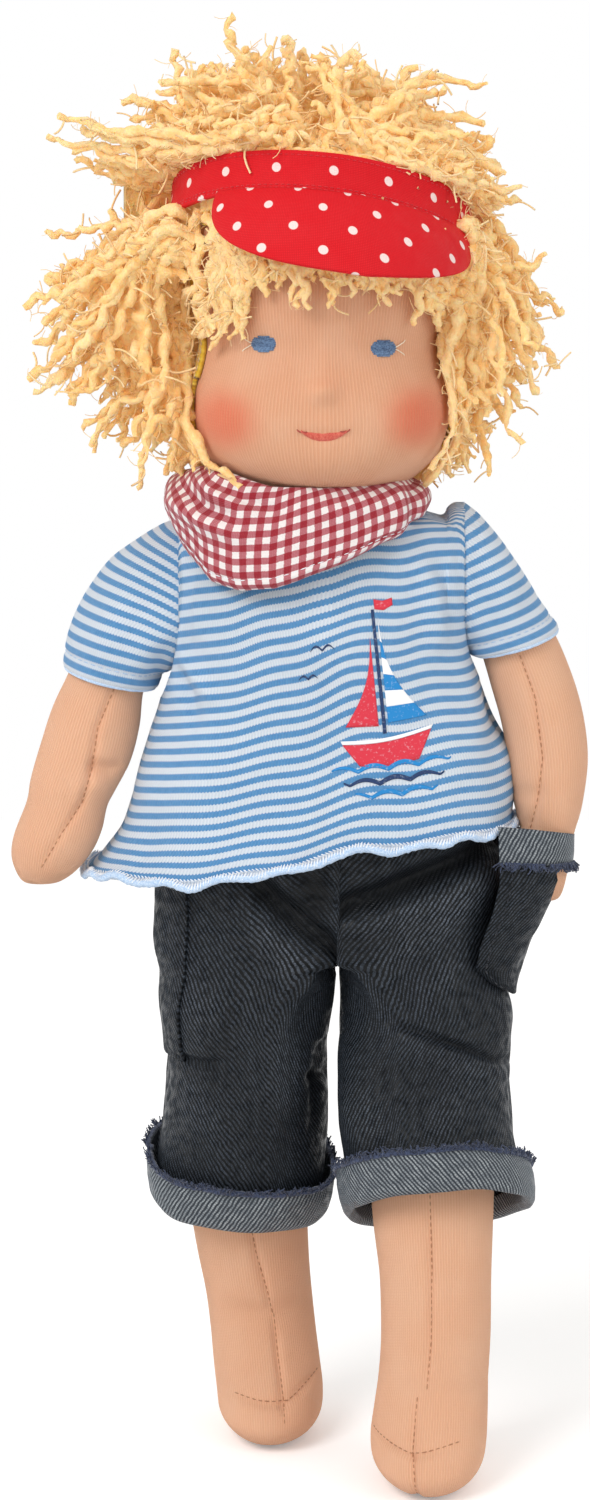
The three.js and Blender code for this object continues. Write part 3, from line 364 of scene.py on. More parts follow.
head_grid = tube(column(head_shares, **head_size), 200, 260)
head_bumps = [(*nose_at, 4.0, 3.4, 3.9), (nose_at[0], 341, 3.6, 8, 0.7),  # nose and bridge
              (0.5, 311, 12, 5, 0.6), (0.5, 320, 9, 2.2, -0.8),  # chin and mouth
              *((x, z, 6, 4.5, -0.9) for x, z in eye_at), *((side * 27, 325, 11, 12, 1.0) for side in (-1, 1))]
bumps = sum(round_bump(head_grid, *bump) for bump in head_bumps)
head_grid = pushed(head_grid, bumps + unevenness(head_grid, 24, 0.35))
head = grid_object("head", head_grid, ends=True)
head_tree = tree_of(head)
print("head", len(head.data.polygons), "faces")

# %% [markdown]
# Arms and legs are tubes of the same skin, stuffed tightly enough to stand. A seam runs down the front of each, and
# a second one crosses the toes, where the flat end of the tube was sewn shut to make a foot.

# %% Arms and legs
arm_shares = {
    "right": dict(reach=51, drop=90, rows=[
        [0, 0.165, 0, -0.155, 0.95], [0.04, 0.19, 0.2, -0.12, 0.98], [0.12, 0.22, 0.4, -0.03, 0.98],
        [0.2, 0.33, 0.64, 0.26, 0.96, -0.05], [0.225, 0.45, 0.75, 0.39, 0.93, -0.15],
        [0.28, 0.57, 0.825, 0.525, 0.86, -0.3], [0.37, 0.665, 0.875, 0.63, 0.8, -0.42],
        [0.42, 0.72, 0.9, 0.7, 0.76, -0.48], [0.45, 0.8, 0.98, 0.81, 0.82, -0.54],
        [0.505, 0.87, 1, 0.885, 0.74, -0.57], [0.6, 0.935, 0.97, 0.945, 0.55, -0.6],
        [0.7, 0.975, 0.92, 0.98, 0.3, -0.6], [0.79, 0.985, 0.83, 0.985, 0.05, -0.6]]),
    "left": dict(reach=37.5, drop=100, rows=[
        [0, 0.15, 0, -0.14, 0.95], [0.06, 0.18, 0.2, -0.1, 0.97], [0.11, 0.21, 0.43, 0.01, 0.96],
        [0.14, 0.25, 0.7, 0.16, 0.95, -0.05], [0.21, 0.335, 0.85, 0.28, 0.92, -0.1],
        [0.29, 0.44, 0.95, 0.41, 0.88, -0.18], [0.345, 0.56, 0.995, 0.555, 0.83, -0.28],
        [0.395, 0.68, 0.96, 0.69, 0.76, -0.36], [0.455, 0.78, 0.885, 0.79, 0.7, -0.42],
        [0.475, 0.86, 0.85, 0.87, 0.74, -0.46], [0.5, 0.93, 0.82, 0.935, 0.68, -0.48],
        [0.56, 0.975, 0.77, 0.98, 0.4, -0.5], [0.64, 0.99, 0.68, 0.99, 0.05, -0.5]]),
}
leg_shares = {
    "right": [
        [0.02, 0.17, 1, 0.6, 0.02], [0.04, 0.165, 1, 0.95, 0.03], [0.1, 0.17, 1, 0.99, 0.08],
        [0.25, 0.175, 0.99, 0.98, 0.24], [0.5, 0.185, 0.93, 0.92, 0.45, 4], [0.62, 0.175, 0.88, 0.88, 0.56, 6],
        [0.72, 0.155, 0.82, 0.84, 0.63, 6], [0.8, 0.13, 0.79, 0.86, 0.62, 4], [0.86, 0.105, 0.775, 0.98, 0.5],
        [0.91, 0.085, 0.755, 1.18, 0.34], [0.95, 0.095, 0.735, 1.26, 0.26], [0.98, 0.155, 0.67, 1.12, 0.27],
        [0.995, 0.25, 0.57, 0.8, 0.28], [1, 0.4, 0.42, 0.05, 0.28]],
    "left": [
        [0.02, 0.18, 1, 0.6, -0.02], [0.04, 0.175, 1, 0.95, -0.04], [0.09, 0.175, 1, 0.99, -0.1],
        [0.25, 0.16, 0.98, 0.98, -0.35], [0.5, 0.22, 0.96, 0.93, -0.72, -8], [0.62, 0.26, 0.945, 0.9, -0.92, -8],
        [0.72, 0.27, 0.94, 0.88, -1.08, -6], [0.8, 0.25, 0.925, 0.88, -1.22, -3], [0.86, 0.225, 0.92, 1.02, -1.34],
        [0.91, 0.205, 0.91, 1.2, -1.46], [0.95, 0.22, 0.885, 1.26, -1.52], [0.98, 0.29, 0.82, 1.12, -1.52],
        [0.995, 0.4, 0.71, 0.82, -1.5], [1, 0.54, 0.56, 0.05, -1.5]],
}
stride = {"right": 24, "left": 26}


middle_pixel, floor_pixel, pixel = 318, 1480, 0.305


def from_photo(points):
    """Places in the photo's pixels as millimetres from the doll's midline and the floor."""
    return [((x - middle_pixel) * pixel, (floor_pixel - y) * pixel) for x, y in points]


def photo_folds(*rows):
    """Folds along lines. A row holds the line's places in the photo, then the fold's height and half width."""
    return [(from_photo(points), height, half) for *points, height, half in rows]


seam_places = {
    "arm_right": [[(117, 680), (96, 730), (90, 770), (80, 805), (60, 834), (40, 868)]],
    "arm_left": [[(508, 640), (530, 700), (538, 760), (534, 800), (523, 850)]],
    "leg_right": [[(240, 1205), (252, 1280), (264, 1325), (268, 1345)],
                  [(270, 1350), (274, 1390), (280, 1428), (281, 1445)],
                  [(232, 1424), (256, 1428), (284, 1429), (314, 1412)]],
    "leg_left": [[(426, 1190), (428, 1260), (427, 1330), (423, 1373)],
                 [(413, 1385), (408, 1430), (410, 1460), (416, 1487)],
                 [(366, 1421), (408, 1431), (452, 1421)]],
}
seams = {name: [from_photo(line) for line in lines] for name, lines in seam_places.items()}


def skin_tube(name, ovals, along, around, nodes, seed, grooves=()):
    grid = tube(ovals, along, around)
    rise = folds(grid, [(points, -1.5, 1.2) for points in seams.get(name, [])]) + folds(grid, grooves)
    grid = pushed(grid, rise + unevenness(grid, 20, 0.35, seed))
    piece = grid_object(name, grid, ends=True)
    return dressed(piece, name if name != "body" else "torso", "skin", nodes)


creases = {
    "arm_right": photo_folds(
        [(84, 765), (108, 772), (120, 768), -2.0, 2.2], [(70, 792), (92, 785), (108, 792), 1.2, 3]),
    "arm_left": photo_folds([(508, 792), (524, 798), (544, 792), -0.8, 2.5]),
    "leg_right": photo_folds([(216, 1345), (268, 1347), (314, 1338), -1.3, 3.5]),
    "leg_left": photo_folds([(378, 1378), (420, 1377), (486, 1382), -1.0, 3]),
}
skins = {}
for name, side in sides.items():
    key = f"arm_{name}"
    skins[key] = skin_tube(key, limb(arm_shares[name], name, armhole_x, 13.6), 150, 100, [key], side, creases[key])
    key = f"leg_{name}"
    ovals = leg_column(leg_shares[name], side, 50, 20, hip[2], stride[name], power=2.1)
    skins[key] = skin_tube(key, ovals, 180, 120, [key], side + 7, creases[key])

body_shares = [
    [0.07, 0.2, 0.2, 0.2, 0.08], [0.08, 0.7, 0.7, 0.7, 0.08], [0.13, 0.9, 0.86, 0.86, 0.08],
    [0.2, 0.97, 0.92, 0.95, 0.07], [0.28, 0.97, 0.97, 0.97, 0.05], [0.43, 0.93, 1, 0.97, 0.02],
    [0.6, 0.88, 0.94, 0.9], [0.7, 0.84, 0.86, 0.85], [0.78, 0.8, 0.8, 0.8], [0.85, 0.7, 0.72, 0.74],
    [0.9, 0.5, 0.6, 0.66, 0, 0.06], [0.95, 0.41, 0.52, 0.62, 0, 0.1], [1, 0.4, 0.5, 0.62, 0, 0.1],
]
body = skin_tube("body", column(body_shares, 0, 0, 149, 151.5, 44, 21.5), 90, 90, ["body", "neck_thread"], 3)
dressed(head, "head", "face", ["head"])
print("skin pieces", len(skins) + 2)

# %% [markdown]
# ## Trousers
# Dark denim is stiff, so the trousers keep the tubes they were sewn as and break into a few deep folds at the hips.
# The two halves meet at the middle seam, as they do on a real pair.

# %% Trousers
seat_shares = [
    [0.1, 0.97, 0.9, 0.92, 0.06], [0.25, 1.0, 0.93, 0.97, 0.06], [0.4, 1.0, 0.97, 1.02, 0.06],
    [0.62, 1.0, 1.01, 1.04, 0.05], [0.85, 0.99, 1.02, 1.03, 0.04], [1.02, 0.94, 1.0, 1.0, 0.03],
]
trouser_shares = {
    "right": dict(length=78, stride=11.5, lean=0.09, rows=[
        [0, 0.02, 0.985, 1, 0], [0.2, 0.03, 0.985, 1.02, 0.15], [0.38, 0.06, 0.955, 1.03, 0.33, 2],
        [0.58, 0.055, 0.97, 1.05, 0.55, 5], [0.76, 0.06, 0.995, 1.07, 0.75, 8], [1, 0.075, 1.03, 1.09, 0.97, 10]]),
    "left": dict(length=74.5, stride=18.5, lean=0.07, rows=[
        [0, 0.02, 0.985, 1, 0], [0.2, 0.02, 0.985, 1.02, -0.16], [0.4, 0.0, 0.965, 1.04, -0.37, -4],
        [0.6, 0.005, 0.975, 1.06, -0.57, -9], [0.8, 0.03, 1.0, 1.08, -0.78, -19], [1, 0.072, 1.06, 1.1, -0.98, -27]]),
}
seat_fine = smooth_ovals(column(seat_shares, 0, 0, 145.5, 58, 53, 27)[::-1], 60)
waist_height, split_height, crotch_height, seam_foot = 204, 168, 156.0, 150
seat_rows, leg_rows, outer_count, inner_count = 50, 110, 120, 60


def superoval(oval, alpha, side):
    cx, cy, cz, wx, wz, front, back, power, tilt = oval
    c = np.sign(np.cos(alpha)) * np.abs(np.cos(alpha)) ** (2 / power) * side
    s = np.sign(np.sin(alpha)) * np.abs(np.sin(alpha)) ** (2 / power)
    deep = s * np.where(s < 0, front, back)
    return np.stack([cx + c * wx, cy + deep, cz + c * wz + deep * math.tan(tilt)], axis=-1)


def trouser_ring(name, oval_leg, z):
    """One level of a trouser half: round the outside from the back seam to the front one, then back inside."""
    side = sides[name]
    k = int(np.argmin(np.abs(seat_fine[:, 2] - z)))
    oval_seat = seat_fine[k].copy()
    oval_seat[2] = z
    x_share = np.clip(side * (hip_middle - oval_seat[0]) / oval_seat[3], -0.9, 0.9)
    edge = math.acos(np.sign(x_share) * abs(x_share) ** (oval_seat[7] / 2))
    seat = superoval(oval_seat, np.linspace(edge, -edge, outer_count), side)
    inside = np.linspace(0, 1, inner_count + 2)[1:-1, None]
    seat = np.vstack([seat, seat[-1] + (seat[0] - seat[-1]) * inside])
    outside = math.radians(112)  # how far to each side of a leg's outermost line its outside goes
    alpha = np.concatenate([np.linspace(outside, -outside, outer_count),
                            np.linspace(-outside, outside - 2 * math.pi, inner_count + 2)[1:-1]])
    leg = superoval(oval_leg, alpha, side)
    t = smoothstep((split_height - z) / 34)
    return seat * (1 - t) + leg * t


def trouser_grid(name):
    shares = trouser_shares[name]
    legs = smooth_ovals(leg_column(shares["rows"], sides[name], 55, 24, shares["length"], shares["stride"]), leg_rows)
    rings = [trouser_ring(name, np.concatenate([legs[0][:2], [z], legs[0][3:]]), z)
             for z in np.linspace(waist_height, crotch_height + 0.5, seat_rows)]
    rings += [trouser_ring(name, oval, oval[2]) for oval in legs]
    grid = np.array(rings)
    down = np.clip((crotch_height - grid[..., 2]) / shares["length"], 0, 1)
    outward = sides[name] * (grid[..., 0] - grid[..., 0].mean(axis=1, keepdims=True))
    grid[..., 2] += shares["lean"] * outward * down ** 2
    return grid


denim_folds = {
    "right": photo_folds(
        [(226, 850), (284, 912), (316, 950), (334, 985), -5, 4], [(250, 900), (290, 950), (300, 1000), 1.6, 7],
        [(296, 850), (303, 890), (310, 915), -3, 4], [(166, 1062), (196, 1066), (228, 1064), -1.6, 1.2],
        [(318, 1050), (314, 1090), (311, 1150), -2.0, 2.0], [(180, 920), (190, 1000), (200, 1100), 1.0, 7],
        [(262, 1010), (280, 1080), (276, 1150), 1.2, 8], [(300, 1082), (320, 1092), (330, 1086), -1.5, 2.0]),
    "left": photo_folds(
        [(310, 914), (352, 903), (404, 880), (460, 860), (515, 838), -5.5, 4],
        [(345, 925), (400, 905), (460, 882), (510, 868), 1.8, 6],
        [(504, 880), (444, 916), (396, 950), (378, 990), 1.7, 6], [(470, 950), (440, 975), (410, 1000), 1.0, 5],
        [(380, 1016), (420, 1029), (460, 1043), (520, 1075), -2.2, 1.3],
        [(380, 1030), (420, 1042), (460, 1058), (510, 1088), 1.2, 5], [(352, 1040), (356, 1100), (356, 1160), 1.0, 7],
        [(430, 1080), (440, 1120), (450, 1160), 1.1, 8]),
}
back_folds = [([(-30, 196), (-16, 176), (2, 160)], -3, 5), ([(38, 198), (22, 178), (7, 160)], -3, 5),
              ([(-40, 165), (-20, 152), (0, 150)], -2.5, 5), ([(44, 165), (28, 152), (10, 150)], -2.5, 5),
              ([(-24, 140), (-26, 115), (-28, 95)], 1.2, 8), ([(34, 140), (36, 115), (38, 95)], 1.2, 8)]
trouser_grids = {}
for name, side in sides.items():
    grid = trouser_grid(name)
    rise = 1.25 * folds(grid, denim_folds[name]) + folds(grid, back_folds, front=False)
    middle_seam = np.exp(-((grid[..., 0] - hip_middle) / 1.2) ** 2) * smoothstep((grid[..., 2] - seam_foot) / 6)
    rise -= 1.2 * middle_seam
    fade = smoothstep((grid[..., 2] - grid[-1:, :, 2]) / 6)
    side_seam = np.zeros(grid.shape[:2])
    side_seam[:, outer_count // 2 - 1:outer_count // 2 + 1] = -0.7
    rise = (rise + side_seam + unevenness(grid, 20, 1.1, side * 3) + unevenness(grid, 8, 0.35, 5)) * fade
    held = smoothstep(np.abs(grid[..., 0] - hip_middle) / 5)
    rise = np.where(grid[..., 2] > seam_foot, rise * (0.35 + 0.65 * held), rise)
    grid = pushed(grid, rise)
    seam_side = grid[..., 2] > crotch_height - 2
    limit = np.maximum(side * (grid[..., 0] - hip_middle), -0.35)
    grid[..., 0] = np.where(seam_side, hip_middle + side * limit, grid[..., 0])
    across = np.arange(grid.shape[1])
    from_seam = np.minimum(across, np.abs(across - (outer_count - 1)))
    closed = np.exp(-(from_seam / 5.0) ** 2) * smoothstep((grid[..., 2] - crotch_height + 1) / 3)
    grid[..., 0] += (hip_middle - side * 0.35 - grid[..., 0]) * closed
    keep = np.ones((grid.shape[0] - 1, grid.shape[1]), bool)
    keep[:seat_rows, outer_count - 1:] = False
    trouser_grids[name] = grid
    # The fold heights go to the denim's colour: worn pale on the ridges, and painted shade in the hollows.
    half = grid_object(f"trousers_{name}", grid, thick=1.2, keep=keep, layers={"wear": rise})
    dressed(half, hip_bends[name], "denim", [f"trouser_leg_{name}", "trouser_seat"])
print("trouser faces", [len(piece.data.polygons) for piece in finish["denim"]])

# %% [markdown]
# ## T-shirt
# Single jersey curls at a raw edge, so the hem rolls up on itself. The shirt is a wide tube that widens to the hem,
# and its sleeves are set into flat armholes. The shoulders rise to meet them.

# %% T-shirt
shirt_shares = [
    [0, 1.125, 1.1, 1.08, -0.07], [0.03, 1.1, 1.07, 1.05, -0.06], [0.12, 1.05, 1.03, 1.02, -0.01],
    [0.27, 0.985, 1, 1, 0.02], [0.4, 0.9, 0.965, 0.97, 0.01], [0.5, 0.85, 0.94, 0.94, 0.005],
    [0.58, 0.82, 0.92, 0.92, -0.01], [0.66, 0.815, 0.87, 0.88, -0.01, 0, 2.5],
    [0.76, 0.82, 0.81, 0.83, 0, 0, 2.7], [0.86, 0.81, 0.74, 0.77, 0, 0, 2.7], [0.93, 0.79, 0.66, 0.71, 0, 0, 2.5],
    [0.97, 0.74, 0.6, 0.68], [1, 0.52, 0.56, 0.66, 0, 0.04],
]
shirt_size = dict(x=0, y=0.5, foot=191, height=102.5, width=57, depth=31)
sleeve_shares = {
    "right": dict(reach=35.2, drop=33, rows=[
        [-0.06, 0.66, -0.08, -0.66, 0.95], [0, 0.7, 0, -0.68, 0.98], [0.012, 0.71, 0.25, -0.56, 1],
        [0.03, 0.72, 0.55, -0.33, 1], [0.06, 0.74, 0.78, -0.02, 1], [0.125, 0.79, 0.92, 0.34, 1.01],
        [0.18, 0.9, 1.0, 0.68, 1.03]]),
    "left": dict(reach=29.8, drop=24, rows=[
        [-0.06, 0.92, -0.08, -0.92, 0.95], [0, 0.96, 0, -0.93, 0.98], [0.01, 0.97, 0.22, -0.66, 1],
        [0.02, 0.98, 0.45, -0.26, 1], [0.04, 1, 0.69, 0.2, 1.01], [0.08, 1.03, 0.965, 0.66, 1.03]]),
}
armhole_begins, sleeve_hem = 24, 5.0


def shirt_surface():
    grid = tube(column(shirt_shares, **shirt_size), 160, 250)
    for name, side in sides.items():
        x, z = grid[..., 0] - midline[0], grid[..., 2]
        axis = shoulder[name]
        out = side * x
        radius = armhole_distance(grid, name)
        wanted = (armhole_round - 0.6) * smoothstep((out - armhole_begins) / 17)
        upper = (out > armhole_begins) & (z - axis[2] > -6)
        grow = np.where(upper & (radius < wanted), wanted / np.maximum(radius, 1), 1)
        grid[..., 1] = axis[1] + (grid[..., 1] - axis[1]) * grow
        grid[..., 2] = axis[2] + (grid[..., 2] - axis[2]) * grow
        limit = armhole_x - 0.3 + np.maximum(armhole_distance(grid, name) - armhole_round, 0) * 0.7
        grid[..., 0] = midline[0] + side * np.minimum(out, limit)
    low = np.clip(1 - (grid[..., 2] - shirt_size["foot"]) / 36, 0, 1)
    x = grid[..., 0] - midline[0]
    grid[..., 2] += low * (x * 0.15 + 1.6 * np.sin(x / 13 + 0.6) + 0.8 * np.sin(x / 5.2))
    grid[..., 0] -= 4.5 * low ** 9 * smoothstep((-x - 38) / 22)
    return grid


shirt_folds = photo_folds(
    [(172, 652), (192, 672), (214, 700), 2.6, 2.6], [(170, 664), (184, 690), (196, 730), -2.2, 2.5],
    [(176, 600), (186, 640), (186, 680), -1.6, 3], [(182, 560), (192, 600), (194, 640), 1.2, 4],
    [(410, 556), (428, 590), (438, 650), 2.2, 3.4], [(424, 548), (444, 585), (452, 630), -2.0, 3],
    [(396, 562), (410, 600), (416, 660), -1.2, 4], [(452, 636), (470, 680), (478, 740), 2.0, 4],
    [(462, 650), (486, 720), (496, 800), -1.8, 4], [(420, 690), (440, 760), (446, 840), 1.2, 8],
    [(210, 720), (200, 790), (196, 880), 1.5, 7], [(250, 760), (252, 820), (256, 880), -1.2, 9],
    [(330, 760), (340, 810), (344, 850), 1.0, 10], [(150, 800), (140, 850), (130, 900), -1.8, 6])
shirt_back = [([(-30, 275), (-24, 250), (-30, 220)], 1.6, 6), ([(26, 276), (22, 250), (30, 220)], 1.6, 6),
              ([(-6, 270), (-4, 240), (-10, 200)], 1.2, 9), ([(-44, 240), (-46, 220), (-52, 200)], -1.6, 5)]
shirt_grid = shirt_surface()
rise = folds(shirt_grid, shirt_folds) + folds(shirt_grid, shirt_back, front=False)
rise += unevenness(shirt_grid, 26, 1.3, 2) + unevenness(shirt_grid, 9, 0.3, 6)
at_hole = np.zeros(rise.shape)
hole = np.zeros(rise.shape, bool)
for name, side in sides.items():
    out, radius = side * (shirt_grid[..., 0] - midline[0]), armhole_distance(shirt_grid, name)
    near_hole = np.exp(-(np.maximum(radius - armhole_round, 0) / 5) ** 2)
    at_hole = np.maximum(at_hole, np.where(out > 38, near_hole, 0))
    hole |= (out > armhole_x - 1.2) & (radius < armhole_round + 0.1)
shirt_uv = lengths(shirt_grid)
shirt_grid = pushed(shirt_grid, rise * (1 - at_hole))
keep = ~(hole[:-1] & hole[1:] & np.roll(hole, -1, axis=1)[:-1] & np.roll(hole, -1, axis=1)[1:])
shirt = grid_object("shirt", shirt_grid, thick=0.8, uv=shirt_uv, keep=keep)
dressed(shirt, "torso", "stripes", ["shirt_body", "shirt_neck_rib"])
shirt_tree = tree_of(shirt)

# A lining stands behind each armhole. It shows where a raised arm pulls its sleeve off.
for name, side in sides.items():
    turn = np.linspace(0, 2 * math.pi, 72, endpoint=False)
    rim = armhole_round - 0.8 - 0.8 * np.maximum(np.sin(turn), 0) + 1.7 * np.maximum(-np.sin(turn), 0) ** 2
    reach = np.linspace(0.13, 1, 14)[:, None] * rim
    disc = np.stack([np.full(reach.shape, midline[0] + side * (armhole_x - 1.0)),
                     shoulder[name][1] + reach * np.cos(turn) / armhole_narrow,
                     shoulder[name][2] + reach * np.sin(turn)], axis=-1)
    around = np.concatenate([disc, disc[:, :1]], axis=1)
    lining = grid_object(f"armhole_lining_{name}", disc, thick=0.6, uv=(around[..., 1], around[..., 2]))
    dressed(lining, "torso", "stripes")

sleeve_folds = {
    "right": photo_folds(
        [(150, 560), (120, 610), (96, 660), 1.2, 5], [(172, 600), (150, 640), (130, 680), 1.0, 5],
        [(170, 640), (160, 660), (150, 690), -1.2, 3]),
    "left": photo_folds(
        [(456, 520), (490, 560), (520, 610), 1.3, 5], [(462, 590), (480, 610), (500, 640), -1.3, 4],
        [(452, 545), (474, 580), (498, 620), -1.0, 4]),
}
sleeve_grids, sleeve_bends = {}, {}
bend_start, sleeve_twists = 0.003, {"right": 0.008, "left": 0.003}  # metres inside and outside the shoulder's seam
for name, side in sides.items():
    grid = tube(limb(sleeve_shares[name], name, armhole_x, 16.2), 66, 136)
    from_seam = np.linspace(0, 1, grid.shape[0])[:, None]
    rise = folds(grid, sleeve_folds[name]) + unevenness(grid, 14, 1.1, side * 4)
    pucker = np.sin(np.linspace(0, 2 * math.pi * 30, grid.shape[1], endpoint=False)) * 0.35
    rise = rise * smoothstep(from_seam / 0.2) + pucker * np.exp(-((from_seam - 0.13) / 0.07) ** 2)
    u, v = lengths(grid)
    from_hem = v[-1:] - v
    rise -= 0.6 * np.exp(-((from_hem[:, :-1] - sleeve_hem) / 0.8) ** 2)
    rise -= 0.9 * np.clip(1 - from_hem[:, :-1] / 1.6, 0, 1) ** 2
    grid = pushed(grid, rise)
    sleeve_grids[name] = (grid, from_hem)
    x, y, z = shoulder[name] * MM
    sleeve_bends[name] = ("torso", f"arm_{name}", (x - side * bend_start, y, z), (x + side * sleeve_twists[name], y, z))
    sleeve = grid_object(f"sleeve_{name}", grid, thick=1.0, uv=(u, from_hem))
    dressed(sleeve, sleeve_bends[name], "stripes", [f"sleeve_{name}"])
print("shirt faces", len(shirt.data.polygons))

# %% [markdown]
# ## Neckerchief
# A triangle of gingham folded double, laid with its wide side under the chin and knotted at the nape. The side that
# goes round the neck gathers into a soft roll, deepest beside the doll's right cheek.

# %% Neckerchief
kerchief_profile = [
    [0, 0.885, 1.0, 0.97], [0.06, 0.96, 1.05, 0.98], [0.16, 1.0, 1.05, 0.97], [0.4, 1.01, 1.03, 0.93],
    [0.64, 0.97, 1.0, 0.91], [0.82, 0.9, 0.94, 0.89], [0.94, 0.83, 0.885, 0.87], [1.0, 0.74, 0.84, 0.84],
    [0.97, 0.66, 0.77, 0.8], [0.88, 0.6, 0.72, 0.76],
]
kerchief_hem = 4.2
kerchief_size = dict(x=-7.5, y=1, foot=272.5, height=32.5, width=40, depth=33)
kerchief_grid = tube(column(kerchief_profile, **kerchief_size), 90, 240)
x, z = kerchief_grid[..., 0] - midline[0], kerchief_grid[..., 2]
t = np.clip((z - kerchief_size["foot"]) / kerchief_size["height"], 0, 1)
behind = np.clip((kerchief_grid[..., 1] - midline[1]) / kerchief_size["depth"] / 2 + 0.5, 0, 1)
in_front = 1 - smoothstep((behind - 0.3) / 0.4)
hem_line = np.interp(x, [-50, -42, -33, -24, -14, -3, 6, 15, 24, 34], [21, 12, 3, 0.5, 1.5, 5.5, 9, 13, 17, 20])
top_line = np.interp(x, [-42, -32, -15, 0, 15, 30, 42], [4, 3.2, -0.8, -1.6, -0.8, 1.5, 4])
kerchief_grid[..., 2] = z + (1 - t) * (hem_line * in_front + 21 * (1 - in_front)) + t * top_line * in_front
kerchief_folds = photo_folds(
    [(162, 500), (180, 508), (206, 520), (250, 535), 2.8, 2.6], [(176, 488), (200, 500), (232, 514), -2.4, 2.2],
    [(190, 478), (216, 494), (256, 508), 2.0, 2.2], [(160, 520), (190, 536), (220, 560), -1.2, 4],
    [(214, 480), (236, 496), (290, 506), -1.6, 1.8], [(290, 500), (340, 505), (400, 492), 1.2, 3],
    [(404, 482), (410, 510), (404, 540), -1.3, 2.4], [(392, 485), (396, 520), (386, 550), 1.2, 3],
    [(240, 530), (270, 560), (300, 576), 0.8, 6], [(414, 484), (418, 505), (414, 530), 1.2, 2])
rise = folds(kerchief_grid, kerchief_folds) + unevenness(kerchief_grid, 18, 0.9, 9)
rise += (1 - in_front) * 1.1 * np.sin(kerchief_grid[..., 2] / 2.1 + kerchief_grid[..., 0] / 9)
u, v = lengths(kerchief_grid)
hem_stitch = np.exp(-((v[:, :-1] - kerchief_hem) / 0.7) ** 2) * in_front
kerchief_grid = pushed(kerchief_grid, rise - 0.5 * hem_stitch)
kerchief = grid_object("kerchief", kerchief_grid, thick=1.1, uv=(u, v))
dressed(kerchief, "torso", "gingham", ["kerchief"])

knot_at = np.array([midline[0], 40.5, 287.5])
knot_turns = np.linspace(0, 2 * math.pi, 36, endpoint=False)
knot_rows = []
for lat in np.linspace(-0.48, 0.48, 22) * math.pi:
    wave = 1 + 0.12 * np.cos(knot_turns * 5 + lat * 3) + 0.06 * np.cos(knot_turns * 9)
    knot_rows.append(knot_at + np.stack([6.8 * math.cos(lat) * np.cos(knot_turns) * wave,
                                         4.0 * math.cos(lat) * np.sin(knot_turns) * wave,
                                         np.full(knot_turns.shape, 5.2 * math.sin(lat))], axis=-1))
knot = grid_object("kerchief_knot", np.array(knot_rows), ends=True)
dressed(knot, "torso", "gingham", ["kerchief_knot"])
for side in (-1, 1):
    s, w = np.meshgrid(np.linspace(0, 1, 34), np.linspace(-1, 1, 15), indexing="ij")
    half = np.interp(s, [0, 0.15, 0.6, 0.93, 1], [2.2, 3.6, 5.6, 4.2, 0.6])
    tail = np.stack([knot_at[0] + side * (2 + 11 * s) + w * half * 0.9,
                     knot_at[1] + 1.0 + 0.9 * np.sin(w * 4 + s * 3) * s + 0.6 * np.cos(w * 7),
                     knot_at[2] - 21.5 * s + side * w * half * 0.35], axis=-1)
    behind = np.array([shirt_tree.ray_cast(Vector((p[0] * MM, 0.1, p[2] * MM)), Vector((0, -1, 0)))[0][1] / MM
                       for p in tail.reshape(-1, 3)]).reshape(s.shape)
    tail[..., 1] += (behind + 2.6 - knot_at[1]) * smoothstep(s / 0.8)
    tip = grid_object(f"kerchief_tail_{'left' if side > 0 else 'right'}", tail, closed=False, thick=1.4)
    dressed(tip, "torso", "gingham")

# %% [markdown]
# The trouser hems are cut, frayed and turned up once, so the grey back of the twill shows. The cargo pockets have
# the same turned-over band. The left one stands open round the hand.

# %% Turn-ups and pockets
def strip_along(curve, down, out, profile, count):
    """A band that follows a closed edge; profile holds pairs of distance down and out."""
    return np.array([curve + down * drop + out * rise for drop, rise in resampled(profile, count)])


turn_up_tops = {}
for name, side in sides.items():
    grid = trouser_grids[name]
    normals = grid_normals(grid)[-3]
    normals[:, 2] *= 0.3
    normals /= np.linalg.norm(normals, axis=1, keepdims=True)
    columns = grid.shape[1]
    edge = np.tile(grid[-1], (3, 1))
    smooth = np.stack([np.convolve(edge[:, c], np.ones(9) / 9, "same")[columns:2 * columns] for c in range(3)], -1)
    down = smooth - grid[-14]
    down /= np.linalg.norm(down, axis=1, keepdims=True)
    turn = np.linspace(0, 2 * math.pi, columns, endpoint=False)[:, None]
    sway = 0.7 * np.sin(3 * turn + side) + 0.5 * np.sin(7 * turn)
    profile = [(-5, -1.8), (0, -1.7), (1.8, -0.4), (2.2, 0.9), (0.6, 2.2), (-3, 2.9), (-7, 3.1), (-11.2, 2.5)]
    band = strip_along(smooth + down * sway * 0.5, down, normals, profile, 34)
    stand = np.linspace(0, 1, 34)[:, None, None] ** 2 * np.abs(np.sin(2 * turn + 1.3 * side))[None]
    band = band + normals[None] * stand
    turn_up_tops[name] = (band[-1], normals, -down)
    turn_up = grid_object(f"turn_up_{name}", band, thick=1.0)
    dressed(turn_up, f"leg_{name}", "denim_back", [f"turn_up_{name}"])

